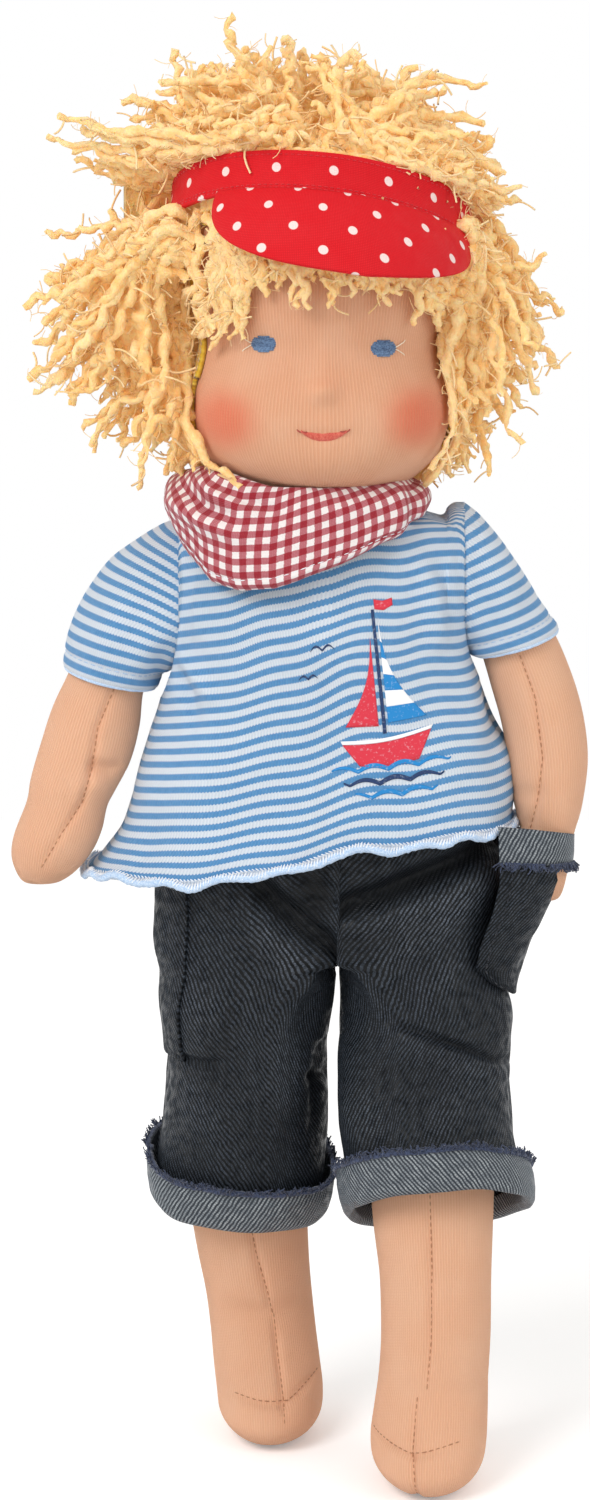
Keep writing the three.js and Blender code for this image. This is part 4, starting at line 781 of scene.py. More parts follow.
z_levels, band_row = np.linspace(146, 196.5, 60), 47
seam_x = np.interp(z_levels, [146, 150, 155, 163, 173, 181, 197], [58.5, 52, 47, 48.5, 52, 54, 53.5])
outer_x = np.interp(z_levels, [146, 155, 163, 173, 181, 190, 197], [60.5, 62.5, 65.5, 70.5, 74.8, 76.2, 76.4])
turn = np.linspace(-math.pi / 2, math.pi / 2, 90)[None]
half_deep = np.interp(z_levels, [146, 150, 157, 170, 185, 197], [9, 13, 17, 18, 17, 15.5])[:, None]
pouch = np.stack([midline[0] + seam_x[:, None] + (outer_x - seam_x)[:, None] * np.cos(turn) ** 0.75,
                  midline[1] - 3 + half_deep * np.sin(turn),
                  z_levels[:, None] + 0 * turn], axis=-1)
sag = 1.5 * smoothstep((z_levels[:, None] - 180) / 16) * np.cos(turn)
pouch[..., 2] -= 1.5 * sag + 3.0 * smoothstep((z_levels[:, None] - 170) / 26) * np.sin(turn)
pouch = pushed(pouch, unevenness(pouch, 9, 0.9, 4) * 0.9, closed=False)
pocket_left = grid_object("pocket_left", pouch[:band_row + 5], closed=False, thick=1.1)
band_left = pushed(pouch[band_row:], 1.3, closed=False)
pocket_band_left = grid_object("pocket_band_left", band_left, closed=False, thick=1.2)
dressed(pocket_left, hip_bends["left"], "denim", ["pocket_left", "pocket_left_foot"])
dressed(pocket_band_left, hip_bends["left"], "denim_back", ["pocket_band_left"])

right = trouser_grids["right"]
low, band_foot, high = (int(np.argmin(np.abs(right[:, outer_count // 2, 2] - level))) for level in (126, 181, 190))
pocket_right = grid_object("pocket_right", pushed(right, 1.2)[band_foot:low + 1, 32:84], closed=False, thick=1.1)
pocket_band_right = grid_object("pocket_band_right", pushed(right, 2.2)[high:band_foot + 2, 31:85], closed=False,
                                thick=1.2)
dressed(pocket_right, hip_bends["right"], "denim", ["pocket_right"])
dressed(pocket_band_right, hip_bends["right"], "denim_back", ["pocket_band_right"])

# %% [markdown]
# ## Visor and wig cap
# A band of spotted cotton, a stiffened brim sewn into its lower edge, and an elastic behind. It sits askew, lower
# at the doll's left. Under it a crocheted cap, on which every strand of the wig is tied.

# %% Visor and wig cap
visor_tall = 12.6


def visor_plane(x, y):
    return 397 - (y - midline[1] + 41) * 0.4 - (x - midline[0]) * 0.1


def round_head(azimuth, out_x, out_y, above):
    """Places on an oval round the head, some millimetres above the visor's tilted middle."""
    azimuth, above = np.broadcast_arrays(azimuth, above)
    x, y = midline[0] + np.sin(azimuth) * out_x, neck[1] - np.cos(azimuth) * out_y
    return np.stack([x, y, visor_plane(x, y) + above], axis=-1)


a = np.radians(np.linspace(-112, 106, 200))[None]
up = np.linspace(0, 1, 26)[:, None]
band_grid = round_head(a, 47.0 - 1.9 * up ** 1.5, 44.6 - 2.0 * up ** 1.5, (up - 0.5) * visor_tall)
band_grid[..., 2] -= 1.3 * smoothstep((np.abs(a) - 1.1) / 0.8) * up
puff = 0.8 * np.sin(up * math.pi) + 0.25 * np.sin(a * 31 + 2 * up) * np.exp(-(up / 0.22) ** 2)
band_grid = pushed(band_grid, -puff - unevenness(band_grid, 12, 0.5, 1), closed=False)
visor_band = grid_object("visor_band", band_grid, closed=False, thick=1.4)
dressed(visor_band, "head", "dots", ["visor_band"])

turn_at = np.linspace(-1, 1, 170)
azimuth = np.radians(12 + 52.5 * turn_at)
reach = (1 - np.abs(turn_at) ** 2.7) ** 0.52 * 0.985 + 0.015
root = round_head(azimuth, 47.4, 45.0, 1.2 - visor_tall / 2)
outward = np.stack([np.sin(azimuth), -np.cos(azimuth), 0 * azimuth], axis=-1)
to_left, to_right = np.maximum(turn_at, 0), np.minimum(turn_at, 0)
brim_rows = []
for t in np.linspace(0, 1, 34):
    out = 13.5 * t + 2.6 * math.sin(t * math.pi * 0.9)
    fall = (22.5 * t ** 1.15 + 0.3) * (1 + 0.08 * to_right - 0.22 * to_left)
    row = root + outward * (out * reach * (1 - 0.55 * to_left))[:, None]
    row[:, 2] -= fall * reach
    brim_rows.append(row)
brim = grid_object("visor_brim", np.array(brim_rows), closed=False, thick=1.7)
dressed(brim, "head", "dots", ["visor_brim"])

a = np.radians(np.linspace(104, 250, 260))[None]
up = np.linspace(0, 1, 14)[:, None]
gathers = np.sin(a * 60)
elastic_grid = round_head(a, 46.0, 45.5, (up - 0.5) * 7.5 + 0.4 * gathers)
elastic = grid_object("visor_elastic", pushed(elastic_grid, 0.7 * gathers + 0 * up, closed=False), closed=False,
                      thick=1.0)
dressed(elastic, "head", "dots", ["visor_elastic"])

cap_grid = pushed(head_grid, 1.6)[24:-1:2, ::2]
in_face = (cap_grid[..., 1] < midline[1] - 9) & (cap_grid[..., 2] < 379)
keep = ~in_face[:-1] & (cap_grid[:-1, :, 2] > 313)
cap = grid_object("wig_cap", cap_grid, thick=1.4, keep=keep)
dressed(cap, "head", "crochet", ["wig_cap"])

ovals = column(body_shares, 0, 0, 149, 151.5, 45.5, 24, grow=1.4)
ring_rows = smooth_ovals(ovals, 90)
k = int(np.argmin(np.abs(ring_rows[:, 2] - 197)))
waist_grid = tube(ring_rows[k - 3:k + 4], 12, 240)
gathers = 0.5 * np.sin(np.linspace(0, 2 * math.pi * 70, 240, endpoint=False))
waist_grid = pushed(waist_grid, np.tile(gathers, (12, 1)))
waist = grid_object("waist_elastic", waist_grid, thick=0.9)
dressed(waist, "torso", "thread_white", ["waist_elastic"])

# %% [markdown]
# ## Hair
# The wig is a slub yarn, thick and thin, whose fibres were looped while it was spun. Cut lengths of it are tied to
# the cap one by one, so they stand away from the head and fall under their own weight. A short program places the
# lengths; a Geometry Nodes tree then crinkles each one and spins it into yarn.

# %% Geometry Nodes helper
def add_node(tree, kind, inputs=None, **settings):
    """Adds a node. Each input is given a value, or the output that feeds it."""
    node = tree.nodes.new(kind)
    for key, value in settings.items():
        setattr(node, key, value)
    for key, value in (inputs or {}).items():
        if isinstance(value, bpy.types.NodeSocket):
            tree.links.new(value, node.inputs[key])
        else:
            node.inputs[key].default_value = value
    return node


def node_group(name, inputs):
    """A tree: what its inputs give, its output node, and the key by which a modifier sets each input."""
    tree = bpy.data.node_groups.new(name, "GeometryNodeTree")
    for way in ("INPUT", "OUTPUT"):
        tree.interface.new_socket("Geometry", in_out=way, socket_type="NodeSocketGeometry")
    kinds = {float: "NodeSocketFloat", int: "NodeSocketInt", type(None): "NodeSocketMaterial"}
    keys = {}
    for label, value in inputs.items():
        socket = tree.interface.new_socket(label, in_out="INPUT", socket_type=kinds[type(value)])
        if value is not None:
            socket.default_value = value
        keys[label] = socket.identifier
    return tree, tree.nodes.new("NodeGroupInput").outputs, tree.nodes.new("NodeGroupOutput"), keys


def grown(name, source, tree, keys, values):
    """What a tree makes of an object, as a plain mesh object in its place."""
    modifier = source.modifiers.new(name, "NODES")
    modifier.node_group = tree
    for label, value in values.items():
        modifier[keys[label]] = value
    source.update_tag()
    bpy.context.view_layer.update()
    mesh = evaluated_mesh(source)
    bpy.data.objects.remove(source)
    return linked(f"{name}_look", mesh)


def line_object(name, lines, thick):
    """Many open lines as one object of edges. Each point has a thickness, and each line a shade of its own."""
    starts = np.cumsum([0] + [len(line) for line in lines])
    edges = [(i, i + 1) for a, b in zip(starts, starts[1:]) for i in range(a, b - 1)]
    mesh = bpy.data.meshes.new(name)
    mesh.from_pydata((np.vstack(lines) * MM).tolist(), edges, [])
    tints = np.random.default_rng(5).random(len(lines))
    shades = np.concatenate([np.full(len(line), tint) for line, tint in zip(lines, tints)])
    for key, values in (("thick", np.concatenate(thick) * MM), ("shade", shades)):
        attribute = mesh.attributes.new(key, "FLOAT", "POINT")
        attribute.data.foreach_set("value", values.astype(np.float32))
    return linked(f"{name}_lines", mesh)


def in_tree(tree):
    """The same helper for one tree, with the node's first shown output."""
    def add(kind, inputs=None, output=0, **settings):
        return add_node(tree, kind, inputs, **settings).outputs[output]
    return add


def send_out(tree, geometry, given, end):
    """Ends a tree: its instances are made real, and its material is set."""
    add = in_tree(tree)
    whole = add("GeometryNodeRealizeInstances", {"Geometry": geometry})
    painted = add("GeometryNodeSetMaterial", {"Geometry": whole, "Material": given["Material"]})
    tree.links.new(painted, end.inputs["Geometry"])


# %% Yarn tree
yarn_tree, given, end, yarn_keys = node_group("spun yarn", {
    "Step": 0.0014, "Crinkle": 0.0075, "Crinkle size": 120.0, "Lump": 0.0026, "Lump size": 520.0, "Sides": 6,
    "Seed": 3.0, "Material": None})
add = in_tree(yarn_tree)
curve = add("GeometryNodeMeshToCurve", {"Mesh": given["Geometry"]})
fine = add("GeometryNodeResampleCurve", {"Curve": curve, "Length": given["Step"]}, mode="LENGTH")
place = add("GeometryNodeInputPosition")
wave = add("ShaderNodeTexNoise", {"Vector": place, "W": given["Seed"], "Scale": given["Crinkle size"], "Detail": 1.5},
           "Color", noise_dimensions="4D")
centred = add("ShaderNodeVectorMath", {0: wave, 1: (0.5, 0.5, 0.5)}, operation="SUBTRACT")
sized = add("ShaderNodeVectorMath", {0: centred, "Scale": given["Crinkle"]}, operation="SCALE")
loose = add("ShaderNodeVectorMath", {0: sized, "Scale": add("GeometryNodeSplineParameter", None, "Factor")},
            operation="SCALE")
moved = add("GeometryNodeSetPosition", {"Geometry": fine, "Offset": loose})
thick = add("GeometryNodeInputNamedAttribute", {"Name": "thick"}, "Attribute", data_type="FLOAT")
radius = add("GeometryNodeSetCurveRadius", {"Curve": moved, "Radius": thick})
profile = add("GeometryNodeCurvePrimitiveCircle", {"Radius": 1.0, "Resolution": given["Sides"]})
tube_node = add_node(yarn_tree, "GeometryNodeCurveToMesh", {"Curve": radius, "Profile Curve": profile,
                                                            "Fill Caps": True})
if "Scale" in tube_node.inputs:
    yarn_tree.links.new(thick, tube_node.inputs["Scale"])
lumps = add("ShaderNodeTexNoise", {"Vector": place, "W": given["Seed"], "Scale": given["Lump size"], "Detail": 1.0},
            noise_dimensions="4D")
level = add("ShaderNodeMath", {0: lumps, 1: 0.5}, operation="SUBTRACT")
amount = add("ShaderNodeMath", {0: level, 1: given["Lump"]}, operation="MULTIPLY")
push = add("ShaderNodeVectorMath", {0: add("GeometryNodeInputNormal"), "Scale": amount}, operation="SCALE")
lumpy = add("GeometryNodeSetPosition", {"Geometry": tube_node.outputs["Mesh"], "Offset": push})
send_out(yarn_tree, lumpy, given, end)


def spun(name, lines, widths, values, body, cover, nodes=()):
    """Lines spun into threads by the yarn tree, and dressed."""
    piece = grown(name, line_object(name, lines, widths), yarn_tree, yarn_keys, values)
    return dressed(piece, body, cover, nodes)


# %% Yarn lengths
outline_angles = np.radians([-180, -137, -122, -105, -89, -76, -58, -45, -32, -21, -12, 4, 22, 40, 55, 72, 89, 104,
                             121, 140, 180])
outline_reach = np.array([57, 72, 84, 96, 102, 97, 72, 83, 94, 95, 87, 84, 85, 76, 74, 77, 80, 76, 71, 65, 57])
hair_middle = np.array([midline[0], neck[1], 352.0])
yarn_points, yarn_radius, root_stand, tip_hook = 44, 1.6, 4.0, 6.0
yarns_per_lock, lock_spread, fringe_points, mass_gap = 5, 7.0, 26, 3.0


def reach_towards(way):
    """How far the hair reaches from its middle; seen from the front it follows the doll's outline."""
    x, y, z = way
    wide = np.interp(math.atan2(x, z), outline_angles, outline_reach)
    deep = 58 if y < 0 else 66
    return 1 / math.sqrt((math.hypot(x, z) / wide) ** 2 + (y / deep) ** 2)


def heading(azimuth, rise):
    a, e = math.radians(azimuth), math.radians(rise)
    return np.array([math.sin(a) * math.cos(e), -math.cos(a) * math.cos(e), math.sin(e)])


def strand(random, root_azimuth, root_rise, tip_azimuth, tip_rise, reach, sag):
    """One yarn from the cap to the edge of the wig. It sags, hooks at its end and winds in slow waves."""
    root_way, tip_way = heading(root_azimuth, root_rise), heading(tip_azimuth, tip_rise)
    hit = head_tree.ray_cast(Vector(head_middle * MM), Vector(root_way))[0]
    root = np.array(hit) / MM + root_way * root_stand
    tip = hair_middle + tip_way * reach_towards(tip_way) * reach
    span = np.linalg.norm(tip - root)
    b = root + root_way * span * 0.35 + np.array([0, 0, span * 0.12])
    c = tip - tip_way * span * 0.3 + np.array([0, 0, span * sag])
    t = np.linspace(0, 1, yarn_points)[:, None]
    line = root * (1 - t) ** 3 + 3 * b * t * (1 - t) ** 2 + 3 * c * t * t * (1 - t) + tip * t ** 3
    side = np.cross(tip_way, random.normal(size=3))
    side /= np.linalg.norm(side)
    other = np.cross(side, tip_way)
    line += side * tip_hook * t ** 3 * random.normal() + other * tip_hook * 0.5 * t ** 2 * random.normal()
    waves = span / random.uniform(5.5, 8.5)
    for way in (side, other):
        line += way * (0.35 + 0.9 * t) * np.sin(2 * math.pi * (waves * t + random.random())) * random.uniform(0.6, 1.1)
    return line


def yarn_thick(random, count=yarn_points, thin=1.0):
    t = np.linspace(0, 1, count)
    base = yarn_radius * thin * (0.8 + 0.4 * random.random())
    return base * (1 - 0.45 * t ** 3) * (1 + 0.3 * np.sin(t * random.uniform(30, 52) + random.random() * 6))


def locks(seed, count, azimuths, rises, sweep, reach, sag=(0.05, 0.3)):
    """Locks of several yarns, rooted between two azimuths and two rises. sweep turns the tips from the roots."""
    random = np.random.default_rng(seed)
    lines, widths = [], []
    (a0, a1), (e0, e1) = azimuths, rises
    for k in range(count):
        share = (k + 0.5) / count
        azimuth = a0 + (a1 - a0) * ((share * 7.236) % 1.0) + random.normal() * 3
        rise = min(e0 + (e1 - e0) * ((share * 11.09) % 1.0) + random.normal() * 3, 86)
        long = random.uniform(*reach)
        fall = random.uniform(*sag)
        tip_azimuth = azimuth + sweep[0] + random.normal() * 10
        tip_rise = rise + sweep[1] + random.normal() * 9
        for _ in range(yarns_per_lock):
            lines.append(strand(random, azimuth + random.normal() * 4, rise + random.normal() * 4,
                                tip_azimuth + random.normal() * lock_spread, tip_rise + random.normal() * lock_spread,
                                long * random.uniform(0.84, 1.03), fall))
            widths.append(yarn_thick(random))
    return lines, widths


def above_band(line, gap=7.5):
    """Keeps a line of the crown clear of the visor's band: it rises over the band, and not all to one level."""
    line = line.copy()
    limit = visor_plane(line[:, 0], line[:, 1]) + gap
    under = np.maximum(limit - line[:, 2], 0) * (line[:, 1] < midline[1] + 14)
    line[:, 2] += under * 1.12
    line[:, 1] += under * 0.5
    return line


def off_head(line, gap=3.4):
    """Pushes a line out of the head."""
    line = line.copy()
    for i, p in enumerate(line):
        near, normal = head_tree.find_nearest(Vector(p * MM))[:2]
        offset = (Vector(p * MM) - near).dot(normal) / MM
        if offset < gap:
            line[i] = np.array(near) / MM + np.array(normal) * gap
    return line


def yarn_piece(name, lines, widths, seed):
    lines = [off_head(line) for line in lines]
    piece = spun(name, lines, widths, {"Seed": float(seed)}, "head", "yarn", [name])
    print(name, len(lines), "yarns,", len(piece.data.polygons), "faces")


# Each row holds a seed, how many locks, their roots' azimuths and rises, and their sweep, reach and sag.
wig = {
    "hair_crown": [(1, 44, (60, 300), (24, 80), (0, -6), (0.78, 1.0)),
                   (2, 18, (-66, -14), (44, 66), (-34, -14), (0.74, 0.98), (0.1, 0.35)),
                   (3, 18, (10, 70), (44, 66), (34, -14), (0.74, 0.98), (0.1, 0.35)),
                   (4, 16, (-60, 60), (52, 80), (-8, 4), (0.8, 1.0)),
                   (5, 10, (-40, 40), (46, 58), (0, -4), (0.66, 0.8), (0.2, 0.4))],
    "hair_right": [(11, 24, (-112, -78), (-34, 16), (-4, -12), (0.7, 1.0), (0.1, 0.35)),
                   (12, 11, (-82, -64), (6, 20), (-20, -22), (0.66, 0.92), (0.1, 0.2))],
    "hair_left": [(21, 22, (78, 112), (-34, 12), (4, -18), (0.7, 1.0), (0.1, 0.35)),
                  (22, 9, (66, 80), (0, 16), (18, -26), (0.7, 0.92), (0.1, 0.2))],
    "hair_back": [(31, 44, (110, 250), (-30, 26), (0, -20), (0.74, 0.98), (0.1, 0.3))],
}
for number, (name, rows) in enumerate(wig.items(), 1):
    lines, widths = [sum(parts, []) for parts in zip(*(locks(*row) for row in rows))]
    if name == "hair_crown":
        lines = [above_band(line) for line in lines]
    yarn_piece(name, lines, widths, number)


def hair_mass(name, azimuths, rises, share, band_gap=None):
    """The close inner yarns, which are too tangled to tell apart, as one lumpy layer."""
    rows = []
    for rise in rises:
        ways = [heading(azimuth, rise) for azimuth in azimuths]
        row = np.array([hair_middle + way * reach_towards(way) * share for way in ways])
        rows.append(off_head(row if band_gap is None else above_band(row, band_gap), mass_gap))
    whole_turn = azimuths[-1] - azimuths[0] > 300
    grid = np.array(rows)
    tufts = unevenness(grid, 5.5, 3.4, 3) + unevenness(grid, 2.2, 1.3, 8)
    grid = pushed(grid, tufts, closed=whole_turn)
    mass = grid_object(name, grid, closed=whole_turn, ends=whole_turn, thick=0.0 if whole_turn else 2.0)
    dressed(mass, "head", "yarn")


hair_mass("hair_mass_crown", np.linspace(0, 358, 230), np.linspace(14, 87, 60), 0.66, 6.0)
hair_mass("hair_mass_back", np.linspace(70, 290, 230), np.linspace(-40, 18, 60), 0.62)


def fringe_line(x, z_root, x_tip, z_tip, out):
    """A short yarn lying on the forehead, from under the brim."""
    points = []
    for t in np.linspace(0, 1, fringe_points):
        px = x + (x_tip - x) * t + 1.0 * math.sin(t * 22 + x)
        pz = z_root + (z_tip - z_root) * t
        hit = head_tree.ray_cast(Vector(((midline[0] + px) * MM, -0.2, pz * MM)), Vector((0, 1, 0)))[0]
        y = hit[1] / MM if hit else neck[1]
        points.append([midline[0] + px, y - 2.2 - out * math.sin(t * math.pi * 0.8), pz])
    return np.array(points)


random = np.random.default_rng(41)
fringe_lines, fringe_widths = [], []
fringe_tips = [
    (300, 306), (312, 296), (322, 309), (333, 293), (345, 296), (356, 290), (371, 302), (378, 298), (384, 309),
    (392, 294), (286, 288), (274, 286), (262, 296), (402, 300), (412, 318), (420, 330), (429, 322), (438, 340),
    (444, 330), (251, 300), (246, 322), (239, 343), (232, 336), (226, 322), (219, 340), (212, 352), (206, 344),
    (200, 356)]
for tip in from_photo(fringe_tips):
    for _ in range(3):
        x = tip[0] * 0.93 + random.normal() * 3
        tips = (tip[0] + random.normal() * 2.6, tip[1] + abs(random.normal()) * 3)
        fringe_lines.append(fringe_line(x, 381 + random.normal() * 2, *tips, 2.5 + 2 * random.random()))
        fringe_widths.append(yarn_thick(random, fringe_points, 0.9))
yarn_piece("hair_fringe", fringe_lines, fringe_widths, len(wig) + 1)

# The yarn lies flat under the band, so there it is one ribbed layer.
a = np.radians(np.linspace(0, 360, 300, endpoint=False))[None]
up = np.linspace(0, 1, 20)[:, None]
ribs = 0.5 * np.sin(a * 66 + 4 * np.sin(a * 5) + up * 3)
under_grid = round_head(a, 42.4 + ribs, 40.7 + ribs, (up - 0.5) * (visor_tall + 3))
under = grid_object("hair_under_band", under_grid, thick=1.2)
dressed(under, "head", "yarn", ["hair_under_band"])

# %% [markdown]
# ## Stitches, frays and embroidery
# A doll maker's hand shows in the thread. One tree sets stitches along a line: it cuts the line into even steps and
# puts a small rounded bar on each, along the line and flat on the cloth. A second tree lets short threads stand out
# of a cut edge or a fuzzy yarn.

# %% Stitch tree
stitch_tree, given, end, stitch_keys = node_group("sewn stitches", {
    "Spacing": 0.0028, "Long": 0.0019, "Thick": 0.0004, "Slant": 0.0, "Seed": 1, "Material": None})
add = in_tree(stitch_tree)
path = add("GeometryNodeMeshToCurve", {"Mesh": given["Geometry"]})
steps = add_node(stitch_tree, "GeometryNodeCurveToPoints", {"Curve": path, "Length": given["Spacing"]}, mode="LENGTH")
bead = add("GeometryNodeMeshUVSphere", {"Segments": 7, "Rings": 5, "Radius": 0.5})
lengthwise = add("ShaderNodeCombineXYZ", {"X": given["Long"], "Y": given["Thick"], "Z": given["Thick"]})
turned = add("ShaderNodeCombineXYZ", {"Z": given["Slant"]})
bar = add("GeometryNodeTransform", {"Geometry": bead, "Scale": lengthwise, "Rotation": turned})
out_of_cloth = add("GeometryNodeInputNamedAttribute", {"Name": "up"}, "Attribute", data_type="FLOAT_VECTOR")
along = add("FunctionNodeAlignRotationToVector", {"Vector": steps.outputs["Tangent"]}, axis="X")
flat = add("FunctionNodeAlignRotationToVector", {"Rotation": along, "Vector": out_of_cloth}, axis="Z", pivot_axis="X")
uneven = add("FunctionNodeRandomValue", {2: 0.85, 3: 1.12, "Seed": given["Seed"]}, 1, data_type="FLOAT")
sewn = add("GeometryNodeInstanceOnPoints", {"Points": steps.outputs["Points"], "Instance": bar, "Rotation": flat,
                                            "Scale": uneven})
send_out(stitch_tree, sewn, given, end)

# %% Fray tree
fray_tree, given, end, fray_keys = node_group("standing fibres", {
    "Density": 400000.0, "Long": 0.003, "Thick": 0.00008, "Curl": 0.0012, "Lean": 0.9, "Steps": 3, "Seed": 1,
    "Material": None})
add = in_tree(fray_tree)
on_cloth = add_node(fray_tree, "GeometryNodeDistributePointsOnFaces",
                    {"Mesh": given["Geometry"], "Density": given["Density"], "Seed": given["Seed"]})
tip = add("ShaderNodeCombineXYZ", {"Z": given["Long"], "X": given["Curl"]})
middle = add("ShaderNodeCombineXYZ", {"Z": add("ShaderNodeMath", {0: given["Long"], 1: 0.6}, operation="MULTIPLY")})
fibre = add("GeometryNodeCurveQuadraticBezier", {"Resolution": given["Steps"], "Start": (0, 0, 0), "Middle": middle,
                                                 "End": tip})
round_thread = add("GeometryNodeCurvePrimitiveCircle", {"Radius": given["Thick"], "Resolution": 3})
solid = add("GeometryNodeCurveToMesh", {"Curve": fibre, "Profile Curve": round_thread})
spin = add("FunctionNodeRandomValue", {"Seed": given["Seed"], "Min": (-1, -1, -3.14), "Max": (1, 1, 3.14)},
           data_type="FLOAT_VECTOR")
leaning = add("ShaderNodeVectorMath", {0: spin, 1: add("ShaderNodeCombineXYZ", {"X": given["Lean"],
                                                                               "Y": given["Lean"], "Z": 1.0})},
              operation="MULTIPLY")
turn_by = add("FunctionNodeEulerToRotation", {"Euler": leaning})
stand_up = add("FunctionNodeRotateRotation", {"Rotation": on_cloth.outputs["Rotation"], "Rotate By": turn_by},
               rotation_space="LOCAL")
various = add("FunctionNodeRandomValue", {2: 0.4, 3: 1.2, "Seed": given["Seed"]}, 1, data_type="FLOAT")
grown_out = add("GeometryNodeInstanceOnPoints", {"Points": on_cloth.outputs["Points"], "Instance": solid,
                                                 "Rotation": stand_up, "Scale": various})
send_out(fray_tree, grown_out, given, end)


# %% Lines on cloth
def sewn_line(name, lines, ups, values, cover, body):
    """Stitches along lines on the cloth. ups holds the cloth's outward direction at each point of each line."""
    source = line_object(name, lines, [np.full(len(line), 1.0) for line in lines])
    attribute = source.data.attributes.new("up", "FLOAT_VECTOR", "POINT")
    attribute.data.foreach_set("vector", np.vstack(ups).astype(np.float32).ravel())
    return dressed(grown(name, source, stitch_tree, stitch_keys, values), body, cover)


def grid_line(grid, rows, columns, lift):
    """A line through a grid at fractional rows and columns, lifted off it, with its outward directions."""
    rows, columns = np.broadcast_arrays(np.asarray(rows, float), np.asarray(columns, float))
    normals = grid_normals(grid)
    r0, c0 = np.floor(rows).astype(int), np.floor(columns).astype(int)
    fr, fc = (rows - r0)[:, None], (columns - c0)[:, None]
    r1, c1 = np.minimum(r0 + 1, grid.shape[0] - 1), (c0 + 1) % grid.shape[1]
    c0 = c0 % grid.shape[1]

    def pick(values):
        return ((values[r0, c0] * (1 - fc) + values[r0, c1] * fc) * (1 - fr)
                + (values[r1, c0] * (1 - fc) + values[r1, c1] * fc) * fr)
    up = pick(normals)
    return pick(grid) + up * lift, up


def row_at(v, distance):
    """For each column, the fractional row where the length v from the first row reaches a distance."""
    return np.array([np.interp(distance, column, np.arange(v.shape[0])) for column in v.T[:-1]])


def on_surface(tree, points, lift):
    """Puts (x, z) places from the front, measured from the midline, on a surface, with its outward directions."""
    spots, ups = [], []
    for x, z in points:
        hit, normal = tree.ray_cast(Vector(((midline[0] + x) * MM, -0.3, z * MM)), Vector((0, 1, 0)))[:2]
        if hit is None:
            continue
        normal = np.array(normal)
        normal *= np.sign(-normal[1]) or 1
        spots.append(np.array(hit) / MM + normal * lift)
        ups.append(normal)
    return np.array(spots), np.array(ups)


def dense(points, gap):
    """More points along a line of few."""
    long = np.linalg.norm(np.diff(points, axis=0), axis=1).sum()
    return resampled(points, max(int(long / gap), 2) + 1)

# %% [markdown]
# The wig's yarn is a mohair mix: long fine fibres stand off each strand and blur its edge. They are what makes the
# hair look soft, so every strand gets them.

# %% Mohair fibres
def stand_off(strands, name, seed, values):
    source = linked(f"{name}_source", strands.data.copy())
    piece = grown(name, source, fray_tree, fray_keys, {"Seed": seed, **values})
    print(name, len(piece.data.polygons), "faces")
    dressed(piece, "head", "mohair_fibres")


fibre_values = {"Density": 28000.0, "Long": 0.0040, "Curl": 0.0026, "Thick": 0.00012, "Steps": 2, "Lean": 0.9}
wisp_values = {"Density": 14000.0, "Long": 0.0046, "Curl": 0.0052, "Thick": 0.00036, "Steps": 4, "Lean": 1.2}
short_wisps = {**wisp_values, "Long": 0.0030}
for k, strands in enumerate(piece for piece in finish["yarn"] if "under_band" not in piece.name):
    name = strands.name.replace("_look", "")
    if "mass" not in name:
        stand_off(strands, f"{name}_fibres", k + 1, fibre_values)
    stand_off(strands, f"{name}_wisps", k + 11, short_wisps if "fringe" in name else wisp_values)

# %% [markdown]
# The features are embroidered last, once the doll's look is certain. Each eye is satin stitch: threads side by side,
# all level. The lashes are two straight stitches at the outer corner, and the mouth is a few stitches of red wool.

# %% Embroidered face
def satin(name, rows, cover, nodes=(), thick=0.34):
    """Threads laid side by side. rows holds the two ends of each thread."""
    random = np.random.default_rng(len(name))
    lines, widths = [], []
    for (x0, z0), (x1, z1) in rows:
        count = max(int(math.hypot(x1 - x0, z1 - z0) / 0.4), 6)
        t = np.linspace(0, 1, count)
        flat, ups = on_surface(head_tree, np.stack([x0 + (x1 - x0) * t, z0 + (z1 - z0) * t], axis=-1), 0.0)
        arch = 0.52 * np.sin(t * math.pi) ** 0.45 - 0.18 + random.uniform(-0.04, 0.04)
        lines.append(flat + ups * arch[:, None])
        widths.append(np.full(count, thick * random.uniform(0.9, 1.08)))
    spun(name, lines, widths, {"Step": 0.00035, "Crinkle": 0.0003, "Lump": 0.00006, "Lump size": 2600.0, "Sides": 7},
         "head", cover, nodes)


def level_rows(cx, cz, half_x, half_z, count, turn, seed):
    """The ends of level threads that fill an oval."""
    random = np.random.default_rng(seed)
    rows = []
    for k in range(count):
        up = -1 + (2 * k + 1) / count
        half = half_x * (1 - abs(up) ** 2.1) ** 0.5 + random.uniform(-0.14, 0.2)
        z = cz + up * half_z
        rows.append(((cx - half, z - half * turn), (cx + half * random.uniform(0.95, 1.05), z + half * turn)))
    return rows


for name, (x, z), turn, seed in (("eye_right", eye_at[0], 0.03, 3), ("eye_left", eye_at[1], -0.05, 4)):
    satin(name, level_rows(x, z + 0.5, 3.55, 2.45, 9, turn, seed), "thread_blue", [name])
lashes = []
for (x, z), out in zip(eye_at, (-1, 1)):
    lashes += [((x + out * 3.4, z + 0.5), (x + out * 6.6, z + 2.6)),
               ((x + out * 3.4, z + 0.2), (x + out * 6.4, z - 1.9))]
satin("lashes", lashes, "thread_cream", thick=0.17)
mouth_rows = []
for x in np.linspace(-6.1, 6.9, 31):
    t = (x - 0.4) / 6.6
    top = 320.9 + 0.7 * t ** 4 - 0.25 * math.exp(-(x / 1.6) ** 2)
    low = 318.5 + 2.7 * abs(t) ** 2.2
    mouth_rows.append(((x, top), (x + 0.12, min(low, top - 0.35))))
satin("mouth", mouth_rows, "thread_red", ["mouth"], 0.27)
corners = [((-6.2, 321.1), (-7.4, 321.9)), ((7.0, 321.2), (8.1, 322.0)), ((-6.3, 321.4), (-4.4, 321.2)),
           ((7.1, 321.6), (5.2, 321.3))]
satin("mouth_corners", corners, "thread_dark_red", thick=0.2)
print("embroidery", len(finish["thread_blue"]), "eyes")

